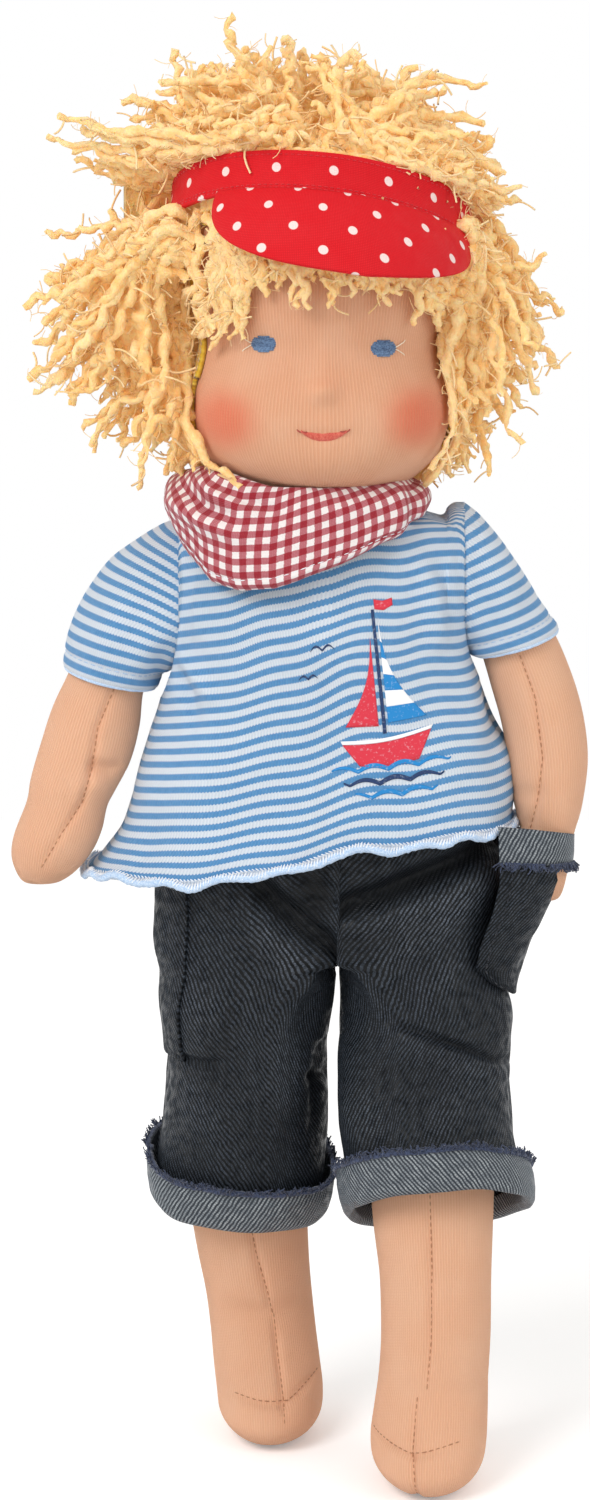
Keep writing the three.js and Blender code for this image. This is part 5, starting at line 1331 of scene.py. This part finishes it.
# %% [markdown]
# Seams hold more by pull than by thread, so only small dips show, with a bit of thread in each. They are sewn by
# hand on the limbs, by machine on the clothes.

# %% Seams and hems
for limb_name, lines in seams.items():
    tree = tree_of(skins[limb_name])
    spots, ups = zip(*[on_surface(tree, dense(line, 0.8), 0.0) for line in lines])
    sewn_line(f"seam_{limb_name}", spots, ups, {"Spacing": 0.0021, "Long": 0.0017, "Thick": 0.00042},
              "thread_skin", limb_name)

columns = np.arange(0, shirt_grid.shape[1] + 1)
hem, _ = grid_line(shirt_grid, 0.0 * columns, columns, 0.5)
ruffle = np.stack([0 * columns, 0.5 * np.sin(columns * 0.9), 0.7 * np.sin(columns * 0.53)], axis=-1)
spun("shirt_hem", [hem + ruffle], [np.full(len(hem), 1.15)],
     {"Step": 0.0006, "Crinkle": 0.0012, "Crinkle size": 260.0, "Lump": 0.0012, "Lump size": 700.0, "Sides": 10},
     "torso", "thread_pale")
(overlock, overlock_up), (hem_seam, hem_seam_up) = [
    grid_line(shirt_grid, row_at(shirt_uv[1], distance), columns[:-1], lift)
    for distance, lift in ((0.6, 1.35), (1.9, 0.75))]
sewn_line("shirt_overlock", [overlock + ruffle[:-1]], [overlock_up],
          {"Spacing": 0.00095, "Long": 0.0028, "Thick": 0.0005, "Slant": 1.15}, "thread_white", "torso")
sewn_line("shirt_hem_seam", [hem_seam], [hem_seam_up],
          {"Spacing": 0.0012, "Long": 0.0015, "Thick": 0.00045, "Slant": -0.7}, "thread_white", "torso")

for name in sides:
    grid, from_hem = sleeve_grids[name]
    last, columns = grid.shape[0] - 1, np.arange(grid.shape[1])
    rows = last - row_at(from_hem[::-1], sleeve_hem)
    line, up = grid_line(grid, rows, columns, 0.1)
    sewn_line(f"sleeve_hem_{name}", [line], [up], {"Spacing": 0.0026, "Long": 0.0019, "Thick": 0.0004},
              "thread_pale", sleeve_bends[name])
    edge, _ = grid_line(grid, last, np.append(columns, len(columns)), -0.4)
    spun(f"sleeve_edge_{name}", [edge], [np.full(len(edge), 0.75)],
         {"Step": 0.0007, "Crinkle": 0.0004, "Lump": 0.0004, "Sides": 8}, sleeve_bends[name], "thread_pale")

front = np.arange(51, 190)
line, up = grid_line(kerchief_grid, row_at(lengths(kerchief_grid)[1], kerchief_hem)[front], front, 0.05)
sewn_line("kerchief_hem", [line], [up], {"Spacing": 0.0027, "Long": 0.002, "Thick": 0.00034}, "thread_white", "torso")

inner_columns = np.arange(1, band_grid.shape[1] - 1)
for k, row in enumerate((2.2, 4.0, 22.5)):
    line, up = grid_line(band_grid, row, inner_columns, 0)
    up = up * np.sign(((line - head_middle) * up).sum(axis=1))[:, None]
    sewn_line(f"visor_stitches_{k + 1}", [line + up * 0.1], [up],
              {"Spacing": 0.0018, "Long": 0.0013, "Thick": 0.0003}, "thread_scarlet", "head")

# %% [markdown]
# A frayed edge is the weave coming apart: the threads along the edge have fallen out and those across it stand free.
# They are cotton, limp and twisted, a few millimetres long, and no two point the same way.

# %% Frayed denim
fray_long = 2.6


def frayed(name, curve, ups, outs, count, body, seed, closed=True):
    """Threads that stand out of a cut edge, towards ups and a little towards outs."""
    random = np.random.default_rng(seed)
    lines, widths = [], []
    span = len(curve) if closed else len(curve) - 1
    for _ in range(count):
        at = random.uniform(0, span)
        i, f = int(at) % len(curve), at % 1
        j = (i + 1) % len(curve)
        root, up, out = (a[i] * (1 - f) + a[j] * f for a in (curve, ups, outs))
        along = curve[j] - curve[i]
        along = along / (np.linalg.norm(along) + 1e-6)
        reach = fray_long * random.uniform(0.45, 1.1)
        t = np.linspace(0, 1, 7)[:, None]
        lean = random.normal() * 0.7
        line = (root - up * 0.6 + up * reach * t + out * (0.5 + random.uniform(0, 1.5) * t ** 1.4)
                + along * (lean * reach * t ** 1.5))
        lines.append(line)
        widths.append(np.full(7, random.uniform(0.17, 0.3)) * (1 - 0.3 * t[:, 0]))
    spun(name, lines, widths, {"Step": 0.0006, "Crinkle": 0.0035, "Crinkle size": 420.0, "Lump": 0.0001, "Sides": 5,
                               "Seed": float(seed)}, body, "thread_navy")


for name, side in sides.items():
    curve, outs, ups = turn_up_tops[name]
    frayed(f"turn_up_fray_{name}", curve, ups, outs, 620, f"leg_{name}", 50 + side)
    spun(f"turn_up_edge_{name}", [np.vstack([curve, curve[:1]])], [np.full(len(curve) + 1, 0.85)],
         {"Step": 0.0006, "Crinkle": 0.0022, "Crinkle size": 500.0, "Lump": 0.0014, "Lump size": 900.0, "Sides": 7,
          "Seed": 8.0 + side}, f"leg_{name}", "thread_navy")

foot = band_left[0]
frayed("pocket_fray_left", foot, np.tile([0, 0, -1.0], (len(foot), 1)), grid_normals(band_left, closed=False)[0],
       330, hip_bends["left"], 61, closed=False)
stitched = slice(2, band_row + 3)
for k, column in enumerate((3, 86)):
    ups = grid_normals(pouch, closed=False)[stitched, column]
    sewn_line(f"pocket_stitches_left_{k + 1}", [pouch[stitched, column] + ups * 0.2], [ups],
              {"Spacing": 0.0026, "Long": 0.0018, "Thick": 0.00045}, "thread_black", hip_bends["left"])

# %% [markdown]
# The shirt has a small print on the doll's left side: a sailing boat on three waves, with two gulls. Screen print is
# a thin skin of ink that lies on the loops, so each colour is its own sheet, a tenth of a millimetre above them.

# %% Print on the shirt
def inked(name, top, low, cover, count=36, rows=5):
    """A patch of ink between two lines of places on the print, laid on the shirt."""
    a, b = resampled(on_print(top), count), resampled(on_print(low), count)
    grid = np.array([on_surface(shirt_tree, a + (b - a) * s, 0.16)[0] for s in np.linspace(0, 1, rows)])
    dressed(grid_object(name, grid, closed=False, thick=0.08), "torso", cover)


def curve_of(start, end, bow, count=14):
    """Places on a line between two places that bows to its left by some millimetres."""
    a, b = np.array(start, float), np.array(end, float)
    t = np.linspace(0, 1, count)[:, None]
    left = np.array([-(b - a)[1], (b - a)[0]]) / np.linalg.norm(b - a)
    return a + (b - a) * t + left * bow * np.sin(t * math.pi)


print_x, print_z, print_turn = 20.0, 219.0, math.radians(6)


def on_print(points):
    """Places on the print as places on the doll, turned as the shirt lies."""
    points = np.array(points, float)
    c, s = math.cos(print_turn), math.sin(print_turn)
    return np.stack([print_x + points[:, 0] * c - points[:, 1] * s, print_z + points[:, 0] * s + points[:, 1] * c],
                    axis=-1)


inked("print_hull", curve_of((-13, 9), (14, 10.5), -1.2), curve_of((-8.5, 2.2), (9.5, 2.2), -1.0), "ink_red")
inked("print_rail", curve_of((-13.4, 10.2), (14.6, 11.7), -1.2), curve_of((-13, 9.1), (14, 10.6), -1.2), "ink_white")
inked("print_mast", [(-0.5, 11), (-0.4, 48)], [(0.6, 11), (0.5, 48)], "ink_navy")
sail, luff = curve_of((13, 14.6), (1.3, 46), 3.4, 40), curve_of((1.3, 14.0), (1.3, 46), 0, 40)
for k in range(6):
    part = slice(6 * k, 6 * k + 7 if k < 5 else 40)
    inked(f"print_sail_{k + 1}", sail[part], luff[part], "ink_blue" if k % 2 == 0 else "ink_white", 14, 14)
inked("print_jib", curve_of((-11.5, 14.2), (-1.5, 40), -2.4, 30), curve_of((-1.6, 13.4), (-1.5, 40), 0, 30),
      "ink_red", 24, 12)
inked("print_flag", [(0.7, 51), (3.4, 50.2), (6.2, 50.8)], [(0.7, 48), (3.4, 47.4), (6.2, 48.6)], "ink_red", 14)
for k in range(3):
    x = np.linspace(-17 + 3.2 * k, 19 - 2.4 * k, 60)
    wave_top = np.stack([x, 1.2 - 4.1 * k + 1.5 * np.abs(np.sin(x / 2.9 + k))], axis=-1)
    thickness = 1.5 * np.sin(np.linspace(0.12, math.pi - 0.12, 60)) ** 0.5
    inked(f"print_wave_{k + 1}", wave_top, wave_top - np.stack([0 * x, thickness], axis=-1),
          "ink_blue" if k != 1 else "ink_navy", 90, 4)
for k, (gx, gz, size) in enumerate(((-16, 38, 3.6), (-21, 30, 2.8))):
    t = np.linspace(-1, 1, 30)
    wing = np.stack([gx + size * t, gz + size * 0.45 * np.abs(np.sin(t * 2.7)) - 0.25 * size * t ** 2], axis=-1)
    inked(f"print_gull_{k + 1}", wing, wing - np.stack([0 * t, 0.25 + 0.5 * (1 - t ** 2)], axis=-1), "ink_navy", 30, 3)
print("printed", sum(len(finish[k]) for k in ("ink_red", "ink_white", "ink_navy", "ink_blue")), "patches")

# %% [markdown]
# ## Materials
# Each cloth is drawn from how it was made. A knit is columns of small loops, a twill is a diagonal of floating
# threads, a gingham is two colours crossed in warp and weft. The patterns read the cloth's own lengths from the UV
# map, in millimetres, so a stripe is as wide on the sleeve as on the body.

# %% Material helpers
def linear(code):
    """A colour written as sRGB hex, as the linear light that a shader wants."""
    parts = [int(code[i:i + 2], 16) / 255 for i in (1, 3, 5)]
    return tuple(c / 12.92 if c <= 0.04045 else ((c + 0.055) / 1.055) ** 2.4 for c in parts) + (1,)


class Cloth:
    """A material under construction: pattern signals are sockets, and arithmetic on them adds nodes."""

    def __init__(self, name, roughness=0.9, sheen=0.25, tint="#FFFFFF"):
        self.material = bpy.data.materials.new(name)
        self.material.use_nodes = True
        self.tree = self.material.node_tree
        self.shader = self.tree.nodes["Principled BSDF"]
        self.set({"Roughness": roughness, "Sheen Weight": sheen, "Sheen Roughness": 0.5, "Sheen Tint": linear(tint),
                  "Specular IOR Level": 0.2})
        self.add = in_tree(self.tree)

    def set(self, values):
        """Constants of the shader itself."""
        for key, value in values.items():
            self.shader.inputs[key].default_value = value

    def math(self, operation, *values):
        return self.add("ShaderNodeMath", dict(enumerate(values)), operation=operation)

    def cloth_place(self, turn=0.0):
        """u and v in millimetres of cloth, turned by some degrees."""
        uv = self.add("ShaderNodeUVMap", uv_map="cloth")
        mapped = self.add("ShaderNodeMapping", {"Vector": uv, "Scale": (1000, 1000, 1000),
                                                "Rotation": (0, 0, math.radians(turn))})
        split = add_node(self.tree, "ShaderNodeSeparateXYZ", {"Vector": mapped}).outputs
        return split["X"], split["Y"]

    def frame_place(self):
        """x, y and z in millimetres of the doll."""
        at = self.add("ShaderNodeTexCoord", None, "Object")
        split = add_node(self.tree, "ShaderNodeSeparateXYZ",
                         {"Vector": self.add("ShaderNodeVectorMath", {0: at, "Scale": 1000.0}, operation="SCALE")})
        return [split.outputs[k] for k in "XYZ"]

    def wave(self, signal, period):
        """0 to 1 and back once each period."""
        turns = self.math("MULTIPLY_ADD", signal, 2 * math.pi / period, 0.0)
        return self.math("MULTIPLY_ADD", self.math("SINE", turns), 0.5, 0.5)

    def noise(self, size, detail=2.0, cloth=False):
        """Cloudy unevenness of some size in millimetres."""
        at = (self.add("ShaderNodeUVMap", uv_map="cloth") if cloth
              else self.add("ShaderNodeTexCoord", None, "Object"))
        return self.add("ShaderNodeTexNoise", {"Vector": at, "Scale": 1000.0 / size, "Detail": detail})

    def threads(self, wide, long):
        """Unevenness stretched along the warp, like the thick and thin places of a spun thread."""
        uv = self.add("ShaderNodeUVMap", uv_map="cloth")
        mapped = self.add("ShaderNodeMapping", {"Vector": uv, "Scale": (1000 / wide, 1000 / long, 1)})
        return self.add("ShaderNodeTexNoise", {"Vector": mapped, "Scale": 1.0, "Detail": 1.0})

    def step(self, signal, low, high):
        return self.add("ShaderNodeMapRange", {"Value": signal, "From Min": low, "From Max": high},
                        interpolation_type="SMOOTHSTEP")

    def mix(self, share, first, second):
        node = self.tree.nodes.new("ShaderNodeMix")
        node.data_type = "RGBA"
        for socket, value in ((node.inputs[0], share), (node.inputs[6], first), (node.inputs[7], second)):
            if isinstance(value, str):
                value = linear(value)
            if isinstance(value, bpy.types.NodeSocket):
                self.tree.links.new(value, socket)
            else:
                socket.default_value = value
        return node.outputs[2]

    def finish(self, color, height=None, relief=0.3, rough=None):
        """Sets the colour, a relief in millimetres, and a varying roughness."""
        self.tree.links.new(color, self.shader.inputs["Base Color"])
        if height is not None:
            bump = self.add("ShaderNodeBump", {"Height": height, "Strength": 1.0, "Distance": relief * MM})
            self.tree.links.new(bump, self.shader.inputs["Normal"])
        if rough is not None:
            self.tree.links.new(self.step(rough, -1.0, 1.6), self.shader.inputs["Roughness"])
        return self.material


# %% [markdown]
# The skin is a fine cotton jersey: ribs 0.8 mm apart run down the face, each a column of loops. It is dyed once and
# evenly, and the cheeks are rubbed with red wax crayon, which only catches the tops of the loops.

# %% Skin
def jersey_relief(cloth, rib, course):
    """Columns of V loops, as the right side of a single jersey shows."""
    u, v = cloth.cloth_place()
    column = cloth.wave(u, rib)
    slant = cloth.math("MULTIPLY", cloth.math("ABSOLUTE", cloth.math("SUBTRACT", column, 0.5)), 3.0)
    loops = cloth.wave(cloth.math("ADD", v, slant), course)
    return cloth.math("MULTIPLY_ADD", loops, 0.35, column)


def skin_material(name, blush, dark, light):
    cloth = Cloth(name, 0.88, 0.3, "#FFD9C2")
    relief = jersey_relief(cloth, 0.8, 0.9)
    patchy = cloth.noise(14)
    # Darker where the loops' relief is low and lighter on their tops: painted shade of the knit.
    color = cloth.mix(cloth.math("MULTIPLY_ADD", relief, 0.4, 0.1), dark, light)
    color = cloth.mix(cloth.step(patchy, 0.35, 0.75), color, cloth.mix(0.2, color, "#F6CCAD"))
    if blush:
        x, y, z = cloth.frame_place()
        for cx, cz in blush:
            dx = cloth.math("DIVIDE", cloth.math("SUBTRACT", x, cx), 9.6)
            dz = cloth.math("DIVIDE", cloth.math("SUBTRACT", z, cz), 9.2)
            reach = cloth.math("ADD", cloth.math("POWER", dx, 2.0), cloth.math("POWER", dz, 2.0))
            soft = cloth.math("EXPONENT", cloth.math("MULTIPLY", cloth.math("POWER", reach, 1.5), -1.0))
            ahead = cloth.step(y, 5.0, -5.0)
            amount = cloth.math("MULTIPLY", cloth.math("MULTIPLY", soft, ahead),
                                cloth.math("MULTIPLY_ADD", relief, 0.22, 0.56))
            color = cloth.mix(amount, color, "#E0603F")
    cloth.set({"Subsurface Weight": 0.06, "Subsurface Radius": (0.004, 0.002, 0.001)})
    return cloth.finish(color, relief, 0.16)


# %% [markdown]
# The T-shirt is yarn-dyed jersey in 2 mm stripes, so a stripe's edge is as ragged as the loops that form it.

# %% Striped jersey
def striped_material():
    cloth = Cloth("stripes", 0.85, 0.2)
    relief = jersey_relief(cloth, 0.85, 0.8)
    _, v = cloth.cloth_place()
    ragged = cloth.math("MULTIPLY_ADD", relief, 0.28, v)
    stripe = cloth.step(cloth.wave(ragged, 4.05), 0.34, 0.62)
    color = cloth.mix(stripe, cloth.mix(cloth.noise(1.2, 3.0), "#458CC8", "#68A6DA"), "#E8F0FA")
    # Grey-blue where the loops' relief is low: painted shade between the loops.
    color = cloth.mix(cloth.math("MULTIPLY", cloth.math("SUBTRACT", 1.0, relief), 0.22), color, "#86A9CC")
    return cloth.finish(color, relief, 0.2, cloth.noise(9))


# %% [markdown]
# Gingham: every other 2 mm of the warp and of the weft is red. Where both are red the square is dark, where one is
# it is pink, and where neither is it is white.

# %% Gingham
def gingham_material():
    cloth = Cloth("gingham", 0.85, 0.15)
    u, v = cloth.cloth_place(2.0)
    edge = cloth.math("MULTIPLY", cloth.math("SUBTRACT", cloth.noise(0.9, 1.0, True), 0.5), 0.35)
    warp = cloth.step(cloth.wave(cloth.math("ADD", u, edge), 4.0), 0.42, 0.58)
    weft = cloth.step(cloth.wave(cloth.math("ADD", v, edge), 4.0), 0.42, 0.58)
    one = cloth.math("MAXIMUM", warp, weft)
    both = cloth.math("MULTIPLY", warp, weft)
    over = cloth.math("MULTIPLY", cloth.wave(u, 0.42), cloth.wave(v, 0.42))
    # The colour also follows the weave's relief, lighter on raised threads and darker between them: painted shade.
    mixed = cloth.mix(cloth.math("MULTIPLY_ADD", over, 0.5, 0.15), "#B04A58", "#D9A6A8")
    color = cloth.mix(both, cloth.mix(one, "#F5EEEC", mixed), cloth.mix(over, "#96202E", "#B52F3C"))
    return cloth.finish(color, over, 0.16, cloth.noise(7))


# %% [markdown]
# Denim is a twill: the indigo warp floats over three weft threads and steps by one each row, which makes the
# diagonal. The warp is dyed nearly black, the weft is grey, so the back of the cloth is grey with dark ticks.

# %% Denim, front and back
def denim_material(name, back):
    cloth = Cloth(name, 0.85, 0.12 if back else 0.04, "#8FA0B8")
    u, v = cloth.cloth_place(28.0 if back else 33.0)
    uneven = cloth.math("MULTIPLY", cloth.noise(2.4, 2.0, True), 0.9)
    diagonal = cloth.wave(cloth.math("ADD", u, uneven), 1.15)
    ticks = cloth.wave(v, 0.75)
    floats = cloth.math("MULTIPLY", cloth.step(diagonal, 0.3, 0.75), cloth.math("MULTIPLY_ADD", ticks, 0.5, 0.5))
    slub = cloth.step(cloth.noise(3.2, 3.0, True), 0.35, 0.7)
    if back:
        color = cloth.mix(floats, "#30363D", cloth.mix(slub, "#7F868C", "#A9AFB3"))
    else:
        # The fold heights lighten the ridges, where denim wears pale, and darken the hollows to near black: painted
        # shade in the creases.
        wear = cloth.add("ShaderNodeAttribute", None, "Fac", attribute_name="wear")
        ridge = cloth.math("MULTIPLY", cloth.step(wear, 0.2, 2.4), 0.75)
        painted_crease_shade = cloth.math("MULTIPLY", cloth.step(wear, -0.3, -3.6), 0.85)
        warp = cloth.math("MULTIPLY_ADD", cloth.step(cloth.threads(0.6, 2.2), 0.32, 0.66), 0.62, 0.38)
        streaks = cloth.math("MULTIPLY_ADD", cloth.step(cloth.threads(2.2, 26.0), 0.25, 0.7), 0.35, 0.65)
        showing = cloth.math("MULTIPLY", warp, streaks)
        light = cloth.mix(painted_crease_shade, cloth.mix(ridge, "#474F5A", "#717A87"), "#0C0E12")
        patches = cloth.math("MULTIPLY_ADD", cloth.step(cloth.noise(26.0, 2.0), 0.3, 0.62), 0.4, 0.6)
        color = cloth.mix(cloth.math("MULTIPLY", floats, cloth.math("MULTIPLY", showing, patches)), "#040608", light)
    return cloth.finish(color, floats, 0.22, slub)


# %% [markdown]
# The visor is a plain cotton printed red, with 2.5 mm dots left pinkish white in staggered rows.

# %% Spotted cotton
def dotted_material():
    cloth = Cloth("dots", 0.62, 0.03, "#FFC0B0")
    u, v = cloth.cloth_place()
    row = cloth.math("ROUND", cloth.math("DIVIDE", v, 7.0))
    down = cloth.math("SUBTRACT", v, cloth.math("MULTIPLY", row, 7.0))
    shifted = cloth.math("DIVIDE", cloth.math("MULTIPLY_ADD", row, 8.5, u), 17.0)
    beside = cloth.math("MULTIPLY", cloth.math("SUBTRACT", shifted, cloth.math("ROUND", shifted)), 17.0)
    distance = cloth.math("SQRT", cloth.math("ADD", cloth.math("POWER", down, 2.0), cloth.math("POWER", beside, 2.0)))
    weave = cloth.math("MULTIPLY", cloth.wave(u, 0.5), cloth.wave(v, 0.5))
    # The red is lighter on the weave's raised threads and darker between them: painted shade.
    red = cloth.mix(weave, "#CE0F1B", "#EE1F2A")
    color = cloth.mix(cloth.step(distance, 1.5, 1.2), red, "#F6DDD8")
    return cloth.finish(color, cloth.math("ADD", weave, cloth.noise(5)), 0.12, cloth.noise(6))


# %% [markdown]
# The yarn takes dye unevenly, thick parts paler than thin. Its fibres stand up and catch light at the edges, which
# sheen gives. The cap under it is the same yarn in a stronger yellow, in rows of double crochet.

# %% Yarn, crochet and threads
def yarn_material():
    cloth = Cloth("yarn", 0.95, 0.5, "#FFE8B8")
    shade = cloth.add("ShaderNodeAttribute", None, "Fac", attribute_name="shade")
    streak = cloth.noise(2.6, 4.0)
    fibre = cloth.noise(0.55, 3.0)
    color = cloth.mix(cloth.step(streak, 0.3, 0.7), "#FFC67C", "#FFE0A2")
    color = cloth.mix(cloth.math("MULTIPLY", shade, 0.4), color, "#FFEBC0")
    # The emission is a painted glow: it lifts the yarn's shaded parts, as light scattered inside the fibres would.
    cloth.set({"Subsurface Weight": 0.5, "Subsurface Radius": (0.007, 0.0045, 0.002),
               "Emission Color": linear("#FFBE72"), "Emission Strength": 0.12})
    return cloth.finish(color, cloth.math("MULTIPLY_ADD", fibre, 0.6, streak), 0.9, fibre)


def crochet_material():
    cloth = Cloth("crochet", 0.9, 0.4)
    u, v = cloth.cloth_place()
    stitch = cloth.math("MULTIPLY", cloth.wave(u, 3.2), cloth.wave(v, 2.6))
    # The yellow is lighter on the stitches' tops and darker between them: painted shade.
    return cloth.finish(cloth.mix(stitch, "#D6AC2E", "#F8DC60"), stitch, 1.2, cloth.noise(2))


def thread_material(name, dark, light, roughness=0.6):
    """Embroidery or sewing thread: two plies twisted together."""
    cloth = Cloth(name, roughness, 0.3)
    ply = cloth.noise(0.5, 3.0)
    shade = cloth.add("ShaderNodeAttribute", None, "Fac", attribute_name="shade")
    amount = cloth.math("MULTIPLY_ADD", cloth.step(ply, 0.35, 0.65), 0.6, cloth.math("MULTIPLY", shade, 0.4))
    return cloth.finish(cloth.mix(amount, dark, light), ply, 0.15, ply)


def ink_material(name, code):
    """Plastisol ink: a soft, slightly rubbery film that takes the loops' relief and misses a few of their tops."""
    cloth = Cloth(name, 0.55, 0.0)
    relief = cloth.noise(0.8, 2.0)
    color = cloth.mix(cloth.math("MULTIPLY", cloth.step(relief, 0.55, 0.8), 0.35), code, "#DCE6F2")
    return cloth.finish(color, relief, 0.12, relief)


thread_looks = {
    "thread_blue": ("#31496B", "#7897BC"), "thread_red": ("#C2473A", "#E07A66"),
    "thread_dark_red": ("#8E2E28", "#B8483C"), "thread_cream": ("#E6D2B4", "#FBF0DC"),
    "thread_skin": ("#9A6244", "#C08A66"), "thread_navy": ("#161B2B", "#424E6C", 0.8),
    "thread_black": ("#0E1016", "#2A2E38", 0.8), "thread_white": ("#D9DEE6", "#F6F8FB", 0.8),
    "thread_pale": ("#8FB4DC", "#CFE0F4", 0.8), "thread_scarlet": ("#B01320", "#E2323C"),
    "mohair_fibres": ("#FFD088", "#FFEBBC", 0.9),
}
ink_colors = {"ink_red": "#D63A4A", "ink_blue": "#2A86C8", "ink_white": "#F4F5F7", "ink_navy": "#2B3F66"}
materials = {
    # Skin and face are one jersey: the limbs' copy has lighter colours and the face's darker ones, painted light and
    # shade.
    "skin": skin_material("skin", [], "#E3A683", "#F9CAA7"),
    "face": skin_material("face", [(midline[0] - 29.5, 323.5), (midline[0] + 28.5, 324.5)], "#DC9C78", "#F2BF9C"),
    "stripes": striped_material(), "gingham": gingham_material(), "dots": dotted_material(),
    "denim": denim_material("denim", False), "denim_back": denim_material("denim_back", True),
    "yarn": yarn_material(), "crochet": crochet_material(),
    **{name: thread_material(name, *look) for name, look in thread_looks.items()},
    **{name: ink_material(name, color) for name, color in ink_colors.items()},
}
for cover, pieces in finish.items():
    for piece in pieces:
        piece.data.materials.clear()
        piece.data.materials.append(materials[cover])
print(len(materials), "materials")

# %% [markdown]
# ## Light and camera
# Soft daylight from a wide window, a little stronger from the viewer's left, on a white table. The camera stands
# where the photographer did: about one metre off and a little above the doll's waist.

# %% Stage
def seen_straight(tree):
    """1 for what the camera sees, also in a mirror or through glass, and 0 for light on its way to a surface."""
    path, add = add_node(tree, "ShaderNodeLightPath").outputs, in_tree(tree)
    straight = add("ShaderNodeMath", {0: path["Is Camera Ray"], 1: path["Is Glossy Ray"]}, operation="MAXIMUM")
    return add("ShaderNodeMath", {0: straight, 1: path["Is Transmission Ray"]}, operation="MAXIMUM")


scene = bpy.context.scene
scene.world = bpy.data.worlds.new("daylight")
scene.world.use_nodes = True
sky = scene.world.node_tree
clear = seen_straight(sky)
lit = add_node(sky, "ShaderNodeBackground", {"Color": (1, 0.99, 0.97, 1), "Strength": 0.72})
white = add_node(sky, "ShaderNodeBackground", {"Color": (1, 1, 1, 1), "Strength": 1.0})
both = add_node(sky, "ShaderNodeMixShader", {0: clear, 1: lit.outputs[0], 2: white.outputs[0]})
sky.links.new(both.outputs[0], sky.nodes["World Output"].inputs["Surface"])

bpy.ops.mesh.primitive_plane_add(size=1.6, location=(0, 0.2, 0))
table = bpy.context.object
table.name = "table"
paper = bpy.data.materials.new("paper")
paper.use_nodes = True
surface = paper.node_tree.nodes["Principled BSDF"].inputs
surface["Base Color"].default_value = (0.93, 0.93, 0.93, 1)
surface["Roughness"].default_value = 0.9
shine = in_tree(paper.node_tree)("ShaderNodeMath", {0: seen_straight(paper.node_tree), 1: 0.24}, operation="MULTIPLY")
surface["Emission Color"].default_value = (1, 1, 1, 1)
paper.node_tree.links.new(shine, surface["Emission Strength"])
table.data.materials.append(paper)


def area_light(name, place, size, watts):
    data = bpy.data.lights.new(name, "AREA")
    data.size, data.energy = size, watts
    light = linked(name, data)
    light.location = place
    light.rotation_euler = (Vector((0, 0, 0.25)) - Vector(place)).to_track_quat("-Z", "Y").to_euler()


area_light("window", (-0.9, -1.1, 1.3), 0.9, 16)
area_light("room", (1.2, -0.7, 0.9), 1.2, 5)

camera_data = bpy.data.cameras.new("camera")
camera = linked("camera", camera_data)
scene.camera = camera
rise, distance, seen_tall = math.radians(10.3), 1.3, 0.4575
target = Vector((-0.003, 0, 0.2205))
camera.location = target + distance * Vector((0, -math.cos(rise), math.sin(rise)))
camera.rotation_euler = (target - camera.location).to_track_quat("-Z", "Y").to_euler()
camera_data.sensor_fit = "VERTICAL"
camera_data.sensor_height = 24
camera_data.lens = camera_data.sensor_height * distance / seen_tall
scene.view_settings.view_transform = "Standard"
